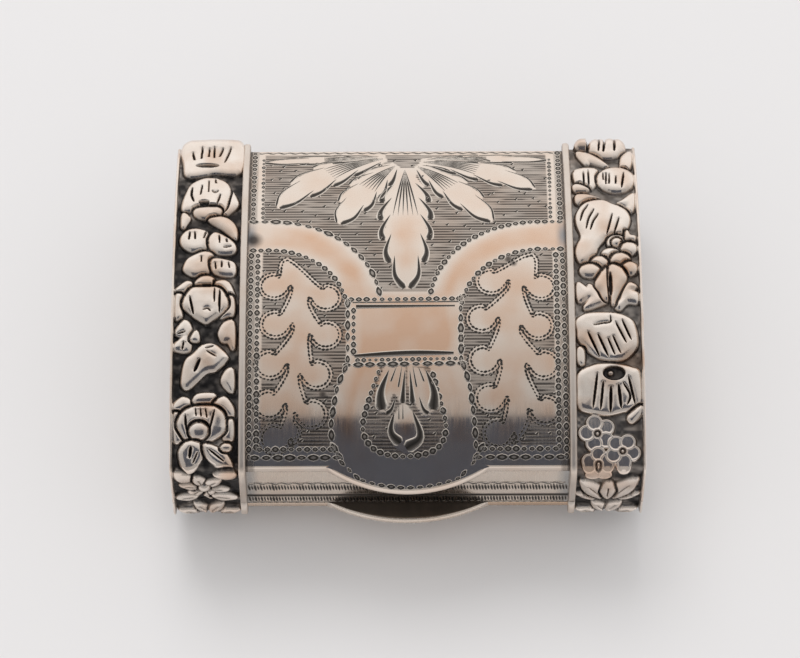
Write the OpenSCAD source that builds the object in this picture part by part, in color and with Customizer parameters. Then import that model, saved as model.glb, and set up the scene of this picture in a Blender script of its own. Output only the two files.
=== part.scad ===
// Silver vinaigrette: a small box with a domed hinged lid, relief borders at both ends,
// a hinged pierced grille inside and a sponge under it.
// Millimetres. X is the width, the front faces -Y, Z is up, the box stands on z = 0.

/* [Body] */
// Overall width across the two end borders
body_w = 28.6; // [22:0.1:40]
// Depth from front wall to back wall, without the borders
body_d = 22.4; // [18:0.1:32]
// Height of the lid's straight walls
lid_wall_h = 3.6; // [3.4:0.1:6]
// Height of the base's straight walls
base_wall_h = 1.5; // [1.4:0.1:4]
// Rise of the domed cover, and of the domed bottom
dome_rise = 2.4; // [2:0.1:4]
// Thickness of the silver sheet
sheet_t = 0.5; // [0.4:0.05:0.7]
// Open seam between lid and base
seam_gap = 0.06; // [0.04:0.01:0.1]

/* [Borders] */
// Width of each relief border
border_w = 4.55; // [3.5:0.05:6]
// Height of the border's rims and relief above the sheet
border_h = 0.5; // [0.4:0.05:0.7]
// Height of the sunk ground between the rims
ground_h = 0.18; // [0.12:0.02:0.24]
// Width of the border's outer rim
rim_w = 0.3; // [0.2:0.05:0.5]
// Width of the plain wire along the border's inner edge
wire_w = 0.42; // [0.3:0.02:0.6]
// Length, front to back, of the flat seat worn on each base border
seat_d = 4; // [3:0.2:6]

/* [Thumb-pieces] */
// Width of the crescent lips
lip_w = 9.6; // [6:0.1:14]
// How far the lips stand out from the walls
lip_out = 1.32; // [0.8:0.02:2]
// Thickness of the lips at their edge
lip_t = 0.55; // [0.4:0.05:0.8]

/* [Lid hinge] */
// Length of the row of knuckles
hinge_len = 17.5; // [12:0.5:18.5]
// Outer radius of the knuckles
knuckle_r = 0.6; // [0.5:0.05:0.7]
// Radius of the hinge pin
pin_r = 0.27; // [0.2:0.01:0.35]
// Running clearance round the pins
pin_gap = 0.03; // [0.02:0.01:0.06]
// Space between the knuckle row and the walls, and between knuckles
hinge_gap = 0.12; // [0.08:0.01:0.15]
// Number of knuckles
knuckles = 5; // [3:2:7]

/* [Bezel and grille] */
// Thickness of the bezel
bezel_t = 0.35; // [0.3:0.05:0.5]
// Height of the bezel above the seam
bezel_up = 1.3; // [1.1:0.1:2]
// Space between bezel and lid walls
bezel_gap = 0.1; // [0.06:0.01:0.2]
// Thickness of the grille
grille_t = 0.4; // [0.3:0.05:0.5]
// Space all round the grille
grille_gap = 0.12; // [0.08:0.02:0.2]
// Depth of the grille below the bezel's top
grille_sink = 0.27; // [0.2:0.01:0.5]
// Outer radius of the grille's knuckles
grille_knuckle_r = 0.4; // [0.36:0.02:0.5]
// Radius of the grille's pin
grille_pin_r = 0.2; // [0.16:0.01:0.25]
// Width of the ledge that carries the grille
bearer_w = 0.6; // [0.4:0.1:1]
// Length of the grille's knuckle row
grille_hinge_len = 20; // [14:1:22]

/* [Hidden] */
$fn = 96;
half_w = body_w / 2;
half_d = body_d / 2;
// Radius of the dome from its chord and rise, and its slope at the walls
dome_r = (half_d * half_d + dome_rise * dome_rise) / (2 * dome_rise);
dome_angle = asin(half_d / dome_r);
// The seat is cut this deep into the crown of the base borders
crown_r = dome_r + border_h;
seat_cut = crown_r - sqrt(crown_r * crown_r - seat_d * seat_d / 4);
part_z = border_h - seat_cut + dome_rise + base_wall_h;
lid_z = part_z + seam_gap / 2;
base_z = part_z - seam_gap / 2;
lid_wall_t = sheet_t - bezel_gap;
// Border fields
border_in = half_w - border_w;
field_x = (border_in + wire_w + half_w - rim_w) / 2;
ground_r = dome_r + ground_h;
// Lid hinge
hinge_y = half_d + knuckle_r + hinge_gap;
hinge_run = min(hinge_len, 2 * border_in - 1);
knuckle_l = hinge_run / knuckles;
lip_run = min(lip_w, 2 * border_in - 2);
// Bezel, grille and grille hinge
bezel_x = half_w - sheet_t;
bezel_y = half_d - sheet_t;
bezel_in_x = bezel_x - bezel_t;
bezel_in_y = bezel_y - bezel_t;
bezel_top = part_z + bezel_up;
grille_top = bezel_top - grille_sink;
grille_z = grille_top - grille_t / 2;
grille_axis_y = bezel_in_y - grille_knuckle_r - hinge_gap;
grille_back = grille_axis_y - grille_knuckle_r - hinge_gap;
grille_front = -bezel_in_y + grille_gap;
grille_half = bezel_in_x - grille_gap;
grille_mid = (grille_back + grille_front) / 2;
grille_knuckles = 5;
grille_hinge_run = min(grille_hinge_len, 2 * bezel_in_x - 4);
grille_knuckle_l = grille_hinge_run / grille_knuckles;
silver = [0.80, 0.76, 0.70];
gilt = [0.83, 0.66, 0.36];
straw = [0.78, 0.66, 0.44];

// Placing: lid and base are one shape drawn upwards from the seam, and turned over for the base

module on_lid() translate([0, 0, lid_z]) children();

module on_base() translate([0, 0, base_z]) mirror([0, 0, 1]) children();

module along_x(x0, x1) translate([x0, 0, 0]) rotate([90, 0, 90]) linear_extrude(x1 - x0) children();

function dome_z(wall_h) = wall_h + dome_rise - dome_r;

// A child drawn at the origin is set on the dome: at 0 on its crown, at 1 on its front edge, at -1 on its back edge
module on_dome(place, dx, wall_h)
  translate([dx, 0, dome_z(wall_h)]) rotate([place * dome_angle, 0, 0]) translate([0, 0, ground_r]) children();

// A child drawn at the origin is set on the front (side = -1) or back (side = 1) wall
module on_wall(side, dx, z)
  translate([dx, side * (half_d + ground_h), z]) rotate([-side * 90, 0, 0]) children();

// Body sections, drawn as Y and Z

module outline(lift, wall_h) intersection() {
  translate([0, dome_z(wall_h)]) circle(r = dome_r + lift, $fn = 720);
  translate([-half_d - lift, 0]) square([body_d + 2 * lift, wall_h + dome_rise + lift + 1]);
}

module wrap(lift, x0, x1, wall_h) along_x(x0, x1) difference() {
  outline(lift, wall_h);
  outline(0, wall_h);
}

// Sheet pieces shared by lid and base

module domed_sheet(wall_h) along_x(-half_w, half_w) difference() {
  outline(0, wall_h);
  translate([0, dome_z(wall_h)]) circle(r = dome_r - sheet_t, $fn = 720);
}

module band(wall_h, wall_t) difference() {
  along_x(-half_w, half_w) intersection() {
    translate([0, dome_z(wall_h)]) circle(r = dome_r - sheet_t, $fn = 720);
    translate([-half_d, 0]) square([body_d, wall_h + dome_rise]);
  }
  translate([-half_w + wall_t, -half_d + wall_t, -1])
    cube([body_w - 2 * wall_t, body_d - 2 * wall_t, wall_h + dome_rise + 2]);
}

module crescent_lip(wall_h) intersection() {
  linear_extrude(wall_h + dome_rise) difference() {
    lip_r = (lip_run * lip_run / 4 + lip_out * lip_out) / (2 * lip_out);
    translate([0, -half_d - lip_out + lip_r]) circle(r = lip_r);
    translate([-half_w, -half_d]) square([body_w, 2 * lip_r]);
  }
  translate([0, -half_d, wall_h]) rotate([dome_angle, 0, 0])
    translate([-half_w, -3 * lip_out, -lip_t]) cube([body_w, 6 * lip_out, lip_t]);
}

// Relief motifs, drawn on the ground with their height along Z: each is a group of balls of which only the
// caps stand out of the ground

module boss(r, h) {
  ball_r = (r * r + h * h) / (2 * h);
  translate([0, 0, h - ball_r]) sphere(r = ball_r);
}

module rosette(r, h) {
  for (i = [0 : 4]) rotate(i * 72 + 18) translate([r * 0.66, 0, 0]) boss(r * 0.36, h * 0.85);
  boss(r * 0.27, h);
}

module shell(r, h, turn) rotate(turn) difference() {
  boss(r, h);
  for (i = [-2 : 2]) translate([0, -r, h * 0.8]) rotate([-90, 0, i * 20])
    cylinder(r = h * 0.28, h = 2.6 * r);
}

module leaf(l, h, turn) rotate(turn) translate([0, 0, -0.15])
  linear_extrude(h * 0.75 + 0.15) rotate(90) petal(2 * l, 0.8 * l);

module field(s, wall_h) intersection() {
  children();
  wrap(border_h + 0.3, s > 0 ? border_in + wire_w : -half_w, s > 0 ? half_w : -border_in - wire_w, wall_h);
}

relief_h = border_h - ground_h + 0.08;

module ground_strip(s, wall_h) {
  x0 = border_in + wire_w;
  x_from = s > 0 ? x0 : -half_w;
  rim_from = s > 0 ? half_w - rim_w : -half_w;
  wrap(ground_h, x_from, x_from + border_w - wire_w, wall_h);
  wrap(border_h, rim_from, rim_from + rim_w, wall_h);
}

module wire(s, wall_h) wrap(border_h, s > 0 ? border_in : -border_in - wire_w,
  s > 0 ? border_in + wire_w : -border_in, wall_h);

// Pieces of the lid

module lid_cover() color(silver) on_lid() domed_sheet(lid_wall_h);

module lid_band() color(silver) on_lid() band(lid_wall_h, lid_wall_t);

module lid_border_left() color(silver) on_lid() {
  ground_strip(-1, lid_wall_h);
  field(-1, lid_wall_h) {
    on_dome(-0.886, -field_x, lid_wall_h) shell(1.2, relief_h, 180);
    on_dome(-0.570, -field_x, lid_wall_h) rosette(1.55, relief_h);
    for (q = [-1, 1]) {
      on_dome(-0.312, -field_x + q * 0.85, lid_wall_h) boss(0.78, relief_h);
      on_dome(-0.142, -field_x + q * 0.85, lid_wall_h) boss(0.78, relief_h);
      on_dome(0.229, -field_x + q * 0.8, lid_wall_h) leaf(1.2, relief_h, q * 30);
      on_dome(0.933, -field_x + q * 0.8, lid_wall_h) leaf(1.1, relief_h, q * 24);
    }
    on_dome(0.036, -field_x, lid_wall_h) shell(1.5, relief_h, 0);
    on_dome(0.443, -field_x, lid_wall_h) boss(1.3, relief_h);
    on_dome(0.728, -field_x, lid_wall_h) rosette(1.7, relief_h);
    on_wall(-1, -field_x, lid_wall_h * 0.48) rosette(1.4, relief_h * 0.8);
    on_wall(1, -field_x, lid_wall_h * 0.48) rosette(1.4, relief_h * 0.8);
  }
}

module lid_border_right() color(silver) on_lid() {
  ground_strip(1, lid_wall_h);
  field(1, lid_wall_h) {
    on_dome(-0.906, field_x, lid_wall_h) shell(1.1, relief_h, 180);
    for (q = [-1, 1]) {
      on_dome(-0.736, field_x + q * 0.85, lid_wall_h) boss(0.82, relief_h);
      on_dome(0.036, field_x + q * 0.75, lid_wall_h) leaf(1.25, relief_h, q * 14);
    }
    on_dome(-0.451, field_x, lid_wall_h) shell(1.75, relief_h, 180);
    on_dome(-0.182, field_x, lid_wall_h) rosette(1.2, relief_h);
    on_dome(0.293, field_x, lid_wall_h) shell(1.7, relief_h, 20);
    on_dome(0.593, field_x, lid_wall_h) shell(1.75, relief_h, 0);
    on_dome(0.819, field_x - 0.75, lid_wall_h) rosette(1.05, relief_h);
    on_dome(0.925, field_x + 0.8, lid_wall_h) rosette(1.05, relief_h);
    on_wall(-1, field_x, lid_wall_h * 0.48) rosette(1.4, relief_h * 0.8);
    on_wall(1, field_x, lid_wall_h * 0.48) rosette(1.4, relief_h * 0.8);
  }
}

module lid_wire_left() color(silver) on_lid() wire(-1, lid_wall_h);

module lid_wire_right() color(silver) on_lid() wire(1, lid_wall_h);

module lid_thumbpiece() color(silver) on_lid() crescent_lip(lid_wall_h);

// Pieces of the base

module base_bottom() color(silver) on_base() domed_sheet(base_wall_h);

module base_band() color(silver) on_base() band(base_wall_h, sheet_t);

module seat_plane() translate([-body_w, -body_d, -5]) cube([2 * body_w, 2 * body_d, 5]);

module seat(s) intersection() {
  x_from = s > 0 ? border_in + wire_w : -half_w + rim_w;
  wrap(border_h, x_from, x_from + border_w - wire_w - rim_w, base_wall_h);
  translate([-half_w, -seat_d / 2, 0]) cube([body_w, seat_d, base_wall_h + dome_rise + 1]);
}

module base_border(s) difference() {
  on_base() {
    ground_strip(s, base_wall_h);
    seat(s);
    field(s, base_wall_h)
      for (q = [-1, 1]) {
        on_dome(q * 0.380, s * field_x, base_wall_h) shell(1.7, relief_h, q > 0 ? 0 : 180);
        on_dome(q * 0.672, s * field_x, base_wall_h) rosette(1.6, relief_h);
        on_dome(q * 0.918, s * field_x - 0.8, base_wall_h) leaf(1.1, relief_h, 24);
        on_dome(q * 0.918, s * field_x + 0.8, base_wall_h) leaf(1.1, relief_h, -24);
      }
  }
  seat_plane();
}

module base_border_left() color(silver) base_border(-1);

module base_border_right() color(silver) base_border(1);

module base_wire(s) difference() {
  on_base() wire(s, base_wall_h);
  seat_plane();
}

module base_wire_left() color(silver) base_wire(-1);

module base_wire_right() color(silver) base_wire(1);

module base_thumbpiece() color(silver) on_base() crescent_lip(base_wall_h);

module bezel() color(gilt) difference() {
  translate([-bezel_x, -bezel_y, base_z - base_wall_h * 0.6])
    cube([2 * bezel_x, 2 * bezel_y, bezel_top - base_z + base_wall_h * 0.6]);
  translate([-bezel_in_x, -bezel_in_y, 0]) cube([2 * bezel_in_x, 2 * bezel_in_y, bezel_top + 1]);
}

module grille_bearer() color(gilt) {
  z0 = grille_top - grille_t - 0.45;
  difference() {
    translate([-bezel_in_x, -bezel_in_y, z0]) cube([2 * bezel_in_x, grille_back + bezel_in_y, 0.45]);
    translate([-bezel_in_x + bearer_w, -bezel_in_y + bearer_w, z0 - 1])
      cube([2 * (bezel_in_x - bearer_w), body_d, 3]);
  }
}

// Hinges: rows of tubes on a pin, every second tube on the same leaf

module tube(x0, l, r, bore) translate([x0, 0, 0]) rotate([0, 90, 0]) difference() {
  cylinder(r = r, h = l);
  translate([0, 0, -1]) cylinder(r = bore, h = l + 2);
}

// One knuckle with the tab by which it is soldered on: the tab reaches tab_y from the axis and tab_z up or down
module knuckle(x0, l, r, bore, tab_y, tab_z) {
  tube(x0, l, r, bore);
  difference() {
    translate([x0, min(tab_y, 0), min(tab_z, 0)]) cube([l, abs(tab_y), abs(tab_z)]);
    translate([x0 - 1, 0, 0]) rotate([0, 90, 0]) cylinder(r = (r + bore) / 2, h = l + 2);
  }
}

module lid_hinge_row(odd, tab_z) translate([0, hinge_y, part_z])
  for (i = [0 : knuckles - 1]) if (i % 2 == odd)
    knuckle(-hinge_run / 2 + i * knuckle_l + hinge_gap / 2, knuckle_l - hinge_gap, knuckle_r,
      pin_r + pin_gap, -(hinge_y - half_d), tab_z);

module lid_knuckles() color(silver) lid_hinge_row(1, 2 * knuckle_r);

module base_knuckles() color(silver) lid_hinge_row(0, -2 * knuckle_r);

module hinge_pin() color(silver)
  translate([-hinge_run / 2, hinge_y, part_z]) rotate([0, 90, 0]) cylinder(r = pin_r, h = hinge_run);

module grille_row(odd) translate([0, grille_axis_y, grille_z])
  for (i = [0 : grille_knuckles - 1]) if (i % 2 == odd)
    translate([-grille_hinge_run / 2 + i * grille_knuckle_l + hinge_gap / 2, 0, 0]) children();

module grille_lugs() color(gilt) grille_row(0) knuckle(0, grille_knuckle_l - hinge_gap, grille_knuckle_r,
  grille_pin_r + pin_gap, grille_knuckle_r + hinge_gap, -grille_knuckle_r);

module grille_knuckle_row() color(gilt) grille_row(1) {
  l = grille_knuckle_l - hinge_gap;
  tube(0, l, grille_knuckle_r, grille_pin_r + pin_gap);
  difference() {
    translate([0, grille_back - grille_axis_y, -grille_t / 2]) cube([l, -(grille_back - grille_axis_y), grille_t]);
    translate([-1, 0, 0]) rotate([0, 90, 0])
      cylinder(r = (grille_knuckle_r + grille_pin_r + pin_gap) / 2, h = l + 2);
  }
}

module grille_pin() color(gilt) translate([-grille_hinge_run / 2, grille_axis_y, grille_z])
  rotate([0, 90, 0]) cylinder(r = grille_pin_r, h = grille_hinge_run);

// Grille: a gilt plate pierced with a flower, scrolling leaves and a border of holes

module petal(l, w) {
  arc_r = (l * l / 4 + w * w / 4) / w;
  intersection() {
    translate([0, arc_r - w / 2]) circle(r = arc_r);
    translate([0, w / 2 - arc_r]) circle(r = arc_r);
  }
}

module c_scroll(r, w, from, sweep) {
  difference() {
    circle(r = r);
    circle(r = r - w);
    rotate(from) translate([-2 * r, 0]) square([4 * r, 2 * r]);
    if (sweep < 180) rotate(from + 180 - sweep) translate([-2 * r, 0]) square([4 * r, 2 * r]);
  }
  rotate(from) translate([-r + w, 0]) circle(r = w * 0.9);
}

module pierced_flower(r) {
  circle(r = r * 0.2);
  for (i = [0 : 7]) rotate(i * 45) translate([r * 0.62, 0]) petal(r * 0.62, r * 0.3);
}

module pierced_side() {
  translate([5.3, 0]) pierced_flower(1.8);
  for (q = [-1, 1]) {
    translate([3.6, q * 3.6]) rotate(q * 35) c_scroll(1.9, 0.55, q > 0 ? 20 : 160, 180);
    translate([7.6, q * 4.4]) rotate(-q * 40) petal(3.2, 1.1);
    translate([5.5, q * 6.1]) rotate(q * 15) petal(2.6, 0.9);
    translate([9.6, q * 2.2]) rotate(q * 62) petal(3.0, 1.0);
    translate([9.9, q * 5.6]) pierced_flower(1.35);
    translate([1.7, q * 6.3]) rotate(-q * 55) petal(2.0, 0.75);
  }
  translate([8.6, 0]) circle(r = 0.45);
  translate([10.5, 0]) petal(1.8, 0.8);
}

module grille_plate() color(gilt) translate([0, grille_mid, grille_top - grille_t]) linear_extrude(grille_t)
  difference() {
    gy = (grille_back - grille_front) / 2;
    square([2 * grille_half, 2 * gy], center = true);
    scale(min(grille_half / 13.3, gy / 9.3)) {
      pierced_flower(2.5);
      pierced_side();
      mirror([1, 0]) pierced_side();
      for (q = [-1, 1]) translate([0, q * 4.6]) rotate(90) petal(2.6, 1.1);
    }
    for (q = [-1, 1]) {
      for (i = [-8 : 8]) translate([i * (2 * grille_half - 2.2) / 16, q * (gy - 0.85)]) circle(r = 0.3);
      for (i = [-4 : 4]) translate([q * (grille_half - 0.95), i * (gy - 2) / 4.6]) circle(r = 0.3);
    }
  }

module grille_nib() color(gilt) translate([0, grille_front + 0.1, grille_top]) rotate([-90, 0, 0])
  linear_extrude(0.3) difference() {
    circle(r = 1);
    translate([-2, 0]) square([4, 2]);
  }

module sponge() color(straw) {
  z1 = grille_top - grille_t - 0.5;
  intersection() {
    translate([-bezel_in_x + 0.3, -bezel_in_y + 0.3, 0]) cube([2 * bezel_in_x - 0.6, 2 * bezel_in_y - 0.6, z1]);
    on_base() along_x(-half_w, half_w)
      translate([0, dome_z(base_wall_h)]) circle(r = dome_r - sheet_t - 0.05, $fn = 720);
  }
}

lid_cover();
lid_band();
lid_border_left();
lid_border_right();
lid_wire_left();
lid_wire_right();
lid_thumbpiece();
lid_knuckles();
base_bottom();
base_band();
base_border_left();
base_border_right();
base_wire_left();
base_wire_right();
base_thumbpiece();
base_knuckles();
hinge_pin();
bezel();
grille_bearer();
grille_lugs();
grille_pin();
grille_plate();
grille_knuckle_row();
grille_nib();
sponge();
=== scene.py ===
import math
import bpy
import numpy as np
from mathutils import Matrix, Vector


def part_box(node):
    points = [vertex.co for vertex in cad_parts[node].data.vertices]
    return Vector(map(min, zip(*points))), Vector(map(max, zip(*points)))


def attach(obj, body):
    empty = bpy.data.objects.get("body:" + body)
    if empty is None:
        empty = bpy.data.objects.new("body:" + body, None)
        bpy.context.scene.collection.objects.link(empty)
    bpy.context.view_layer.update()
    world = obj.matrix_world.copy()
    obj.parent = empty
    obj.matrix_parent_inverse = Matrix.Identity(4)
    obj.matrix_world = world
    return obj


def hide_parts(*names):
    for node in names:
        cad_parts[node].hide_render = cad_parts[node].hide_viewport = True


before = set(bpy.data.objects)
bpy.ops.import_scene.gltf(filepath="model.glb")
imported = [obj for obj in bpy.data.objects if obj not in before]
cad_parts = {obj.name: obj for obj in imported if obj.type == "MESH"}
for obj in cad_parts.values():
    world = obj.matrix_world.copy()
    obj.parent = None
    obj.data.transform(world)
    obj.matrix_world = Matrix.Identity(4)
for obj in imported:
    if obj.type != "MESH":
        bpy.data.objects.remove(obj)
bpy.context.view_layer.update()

# Bottom sheet
# The domed underside of the box: one sheet of sterling silver hammered over a former, burnished outside
# and gilt inside. It is soldered to the base walls, and standing on tables has scratched it.

MM = 0.001
HALF_W, HALF_D, BASE_EDGE_Z = (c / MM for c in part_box("base_band")[1])
DOME_RISE = 2.4
DOME_R = (HALF_D ** 2 + DOME_RISE ** 2) / (2 * DOME_RISE)
SHEET = 0.5
BASE_WALL = 1.5
WORN_EDGE = 0.25  # radius between dome and wall
SCUFF_DEEP = 0.02 * MM  # depth of the grain of a metal's surface
EDGE_TURN = math.asin((HALF_D - WORN_EDGE) / (DOME_R - WORN_EDGE))
ARC_END = DOME_R * EDGE_TURN
BEND_END = ARC_END + WORN_EDGE * (math.pi / 2 - EDGE_TURN)
BEND_Z = DOME_RISE - DOME_R + (DOME_R - WORN_EDGE) * math.cos(EDGE_TURN)  # above the wall's top


def fold(x, v, h, wall, edge_z, up):
    """Lays the flat pattern on the bent sheet: v runs from the crown to the front (+) or back (-), over the
    worn edge and down the wall, and h stands off the sheet. up is 1 for the lid and -1 for the base."""
    run, side, on_dome = np.abs(v), np.sign(v), np.abs(v) < ARC_END
    past = EDGE_TURN + (run - ARC_END) / WORN_EDGE
    angle = np.where(on_dome, run / DOME_R, np.minimum(past, math.pi / 2))
    reach = np.where(on_dome, DOME_R, WORN_EDGE) + h
    from_y = np.where(on_dome, 0.0, (DOME_R - WORN_EDGE) * math.sin(EDGE_TURN))
    from_z = np.where(on_dome, DOME_RISE - DOME_R, BEND_Z)
    y = -side * (from_y + reach * np.sin(angle))
    z = wall + from_z + reach * np.cos(angle) - np.maximum(run - BEND_END, 0.0)
    return np.stack([x + 0.0 * y, y, edge_z + up * z], -1)


def on_base(x, v, h):
    return fold(x, v, h, BASE_WALL, BASE_EDGE_Z, -1)


def linear(code):
    """sRGB hex to linear colour."""
    parts = [int(code[i:i + 2], 16) / 255 for i in (1, 3, 5)]
    return [c / 12.92 if c <= 0.04045 else ((c + 0.055) / 1.055) ** 2.4 for c in parts] + [1.0]


def plug(tree, node, plugs):
    """Gives a node its values and its links."""
    for key, value in dict(plugs).items():
        if isinstance(value, bpy.types.NodeSocket):
            tree.links.new(value, node.inputs[key])
        else:
            node.inputs[key].default_value = value
    return node


def add(tree, kind, plugs=(), **settings):
    """Adds one node, with its settings, its values and its links."""
    node = tree.nodes.new(kind)
    for key, value in settings.items():
        setattr(node, key, value)
    return plug(tree, node, plugs)


def reckon(tree, operation, *values):
    """What one operation makes of the values."""
    return add(tree, "ShaderNodeMath", enumerate(values), operation=operation).outputs[0]


def mix(tree, share, first, second):
    """The first colour with this share of the second."""
    return add(tree, "ShaderNodeMix", {0: share, 6: first, 7: second}, data_type="RGBA").outputs[2]


def noise(tree, place, size_mm, detail):
    """Clouds of this size."""
    plugs = {"Vector": place, "Scale": 1000 / size_mm, "Detail": detail}
    return add(tree, "ShaderNodeTexNoise", plugs).outputs["Fac"]


def point_value(tree, name):
    """What the points of the mesh carry under this name."""
    return add(tree, "ShaderNodeAttribute", attribute_name=name).outputs["Fac"]


def new_material(name):
    """A material, its tree and its surface."""
    material = bpy.data.materials.new(name)
    material.use_nodes = True
    return material, material.node_tree, material.node_tree.nodes["Principled BSDF"]


def sterling(name, pale, warm, black, rough, cloud_mm, scratch):
    """Sterling silver: a warm white metal. Rubbed places are bright, handled places peach, and sulphide sits
    in the cuts, bluish where it is thin (the toning attribute); the attribute that darkens the colour carries
    this sulphide and, in some places, painted shade."""
    metal, tree, surface = new_material(name)
    place = add(tree, "ShaderNodeTexCoord").outputs["Object"]
    tarnish, burnish, toning = (point_value(tree, skin) for skin in ("tarnish", "burnish", "toning"))
    handled = reckon(tree, "ADD", noise(tree, place, cloud_mm, 4.0), burnish)
    peach = add(tree, "ShaderNodeMapRange", {0: handled, 1: 0.42, 2: 1.35}).outputs[0]
    toned = mix(tree, toning, mix(tree, peach, linear(pale), linear(warm)), linear("#77858F"))
    # Polishing scratches run front to back: finer ones than these don't show at this size.
    scratch_gap, scratch_long = 0.06, 1.6
    stretch = add(tree, "ShaderNodeMapping", {
        "Vector": place, "Scale": (1000 / scratch_gap, 1000 / scratch_long, 1000 / scratch_long)})
    scuffs = noise(tree, stretch.outputs[0], 1000, 3.0)  # the mapping has set their size
    gloss = add(tree, "ShaderNodeMapRange", {0: scuffs, 1: 0.3, 2: 0.75, 3: rough - 0.05, 4: rough + 0.08})
    bump = add(tree, "ShaderNodeBump", {"Height": scuffs, "Strength": scratch, "Distance": SCUFF_DEEP})
    plug(tree, surface, {
        "Base Color": mix(tree, tarnish, toned, linear(black)),
        "Roughness": reckon(tree, "MULTIPLY_ADD", tarnish, 0.28, gloss.outputs[0]),
        "Normal": bump.outputs[0], "Metallic": 1.0})
    return metal


# Burnished sheet: flat polished planes give clear, slightly soft reflections with fine polishing lines.
burnished_silver = sterling("sterling_silver_burnished_sheet", "#EADDD0", "#D6B9A0", "#2B2726",
                            rough=0.24, cloud_mm=3.5, scratch=0.12)

# Gilt: a thin fire-gilt skin over silver, deep yellow and a little satin where it was never rubbed.
fire_gilt, gilt_tree, gilt_surface = new_material("fire_gilt_satin")
gilt_place = add(gilt_tree, "ShaderNodeTexCoord").outputs["Object"]
gilt_grain = noise(gilt_tree, gilt_place, 0.15, 2.0)
gilt_mix = mix(gilt_tree, noise(gilt_tree, gilt_place, 2.5, 4.0), linear("#E8BE6A"), linear("#C28F3E"))
gilt_gloss = add(gilt_tree, "ShaderNodeMapRange", {0: gilt_grain, 1: 0.3, 2: 0.7, 3: 0.24, 4: 0.40})
gilt_bump = add(gilt_tree, "ShaderNodeBump",
                {"Height": gilt_grain, "Strength": 0.15, "Distance": SCUFF_DEEP})
plug(gilt_tree, gilt_surface, {
    "Base Color": mix(gilt_tree, point_value(gilt_tree, "tarnish"), gilt_mix, linear("#4A2F14")),
    "Roughness": gilt_gloss.outputs[0], "Normal": gilt_bump.outputs[0], "Metallic": 1.0})


def put(name, data):
    """A new object in the scene."""
    thing = bpy.data.objects.new(name, data)
    bpy.context.scene.collection.objects.link(thing)
    return thing


def give_points(mesh, name, values):
    """Gives every point of the mesh a value under this name."""
    mesh.attributes.new(name, "FLOAT", "POINT").data.foreach_set("value", np.asarray(values, np.float32))


def set_in(name, mesh, body, slot, *nodes):
    """Puts a finished mesh in the scene as a piece of the object that stands for the nodes."""
    piece = put(name, mesh)
    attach(piece, body)
    if nodes:
        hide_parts(*nodes)
    return piece


def pressed(name, xs, vs, heights, under, lay, metals, **skins):
    """A closed sheet: a height for every x and v on top, a plain underside `under` off the sheet, laid in
    place by `lay`. metals are the outside and, if there are two, the lining. skins are point attributes."""
    rows, cols = heights.shape
    grid_x, grid_v = np.meshgrid(xs, vs)
    low = np.broadcast_to(np.asarray(under, float), (rows,))
    top = lay(grid_x, grid_v, heights).reshape(-1, 3)
    left = lay(np.full(rows, xs[0]), vs, low)
    right = lay(np.full(rows, xs[-1]), vs, low)
    back = lay(xs[1:-1], np.full(cols - 2, vs[0]), np.full(cols - 2, low[0]))
    front = lay(xs[1:-1], np.full(cols - 2, vs[-1]), np.full(cols - 2, low[-1]))
    points = np.concatenate([top, left, right, back, front])
    n = rows * cols
    at = np.arange(n).reshape(rows, cols)
    left_low, right_low = n + np.arange(rows), n + rows + np.arange(rows)
    between = n + 2 * rows + np.arange(cols - 2)
    back_low = np.concatenate([[left_low[0]], between, [right_low[0]]])
    front_low = np.concatenate([[left_low[-1]], between + cols - 2, [right_low[-1]]])
    face = np.stack([at[:-1, :-1], at[1:, :-1], at[1:, 1:], at[:-1, 1:]], -1).reshape(-1, 4)
    skirt = np.concatenate([
        np.stack([at[1:, 0], at[:-1, 0], left_low[:-1], left_low[1:]], -1),
        np.stack([at[:-1, -1], at[1:, -1], right_low[1:], right_low[:-1]], -1),
        np.stack([at[0, :-1], at[0, 1:], back_low[1:], back_low[:-1]], -1),
        np.stack([at[-1, 1:], at[-1, :-1], front_low[:-1], front_low[1:]], -1)])
    floor = np.stack([left_low[1:-2], right_low[1:-2], right_low[2:-1], left_low[2:-1]], -1)
    faces = face.tolist() + skirt.tolist() + floor.tolist()
    faces.append(back_low.tolist() + [right_low[1], left_low[1]])
    faces.append([left_low[-2], right_low[-2]] + front_low[::-1].tolist())
    if points[at[rows // 2, cols // 2], 2] < points[left_low[rows // 2], 2]:
        faces = [f[::-1] for f in faces]
    mesh = bpy.data.meshes.new(name)
    mesh.from_pydata((points * MM).tolist(), [], faces)
    smooth = np.zeros(len(faces), bool)
    smooth[:len(face)] = True
    mesh.polygons.foreach_set("use_smooth", smooth)
    for metal in metals:
        mesh.materials.append(metal)
    if len(metals) > 1:
        lining = np.zeros(len(faces), np.int32)
        lining[len(face) + len(skirt):] = 1
        mesh.polygons.foreach_set("material_index", lining)
    for skin, values in skins.items():
        shade = np.zeros(len(points), np.float32)
        shade[:n] = values.ravel()
        give_points(mesh, skin, shade)
    mesh.update()
    return mesh


def wobble(x, v, size, seed):
    """Smooth uneven field from -1 to 1 with bumps `size` mm apart, as hand work leaves."""
    cells = 96
    lattice = np.random.default_rng(seed).uniform(-1, 1, (cells + 1, cells + 1))
    lattice[cells] = lattice[0]
    lattice[:, cells] = lattice[:, 0]
    a, b = np.asarray(x) / size, np.asarray(v) / size
    i, j = np.floor(a).astype(int), np.floor(b).astype(int)
    s, t = a - i, b - j
    i, j = i % cells, j % cells
    s, t = s * s * (3 - 2 * s), t * t * (3 - 2 * t)
    return ((lattice[i, j] * (1 - s) + lattice[i + 1, j] * s) * (1 - t)
            + (lattice[i, j + 1] * (1 - s) + lattice[i + 1, j + 1] * s) * t)


COVER_LOW = BEND_END + 0.38  # the sheet's own edge shows this far down the wall
bottom_x, bottom_v = np.linspace(-HALF_W, HALF_W, 121), np.linspace(-COVER_LOW, COVER_LOW, 161)
bx, bv = np.meshgrid(bottom_x, bottom_v)


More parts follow.
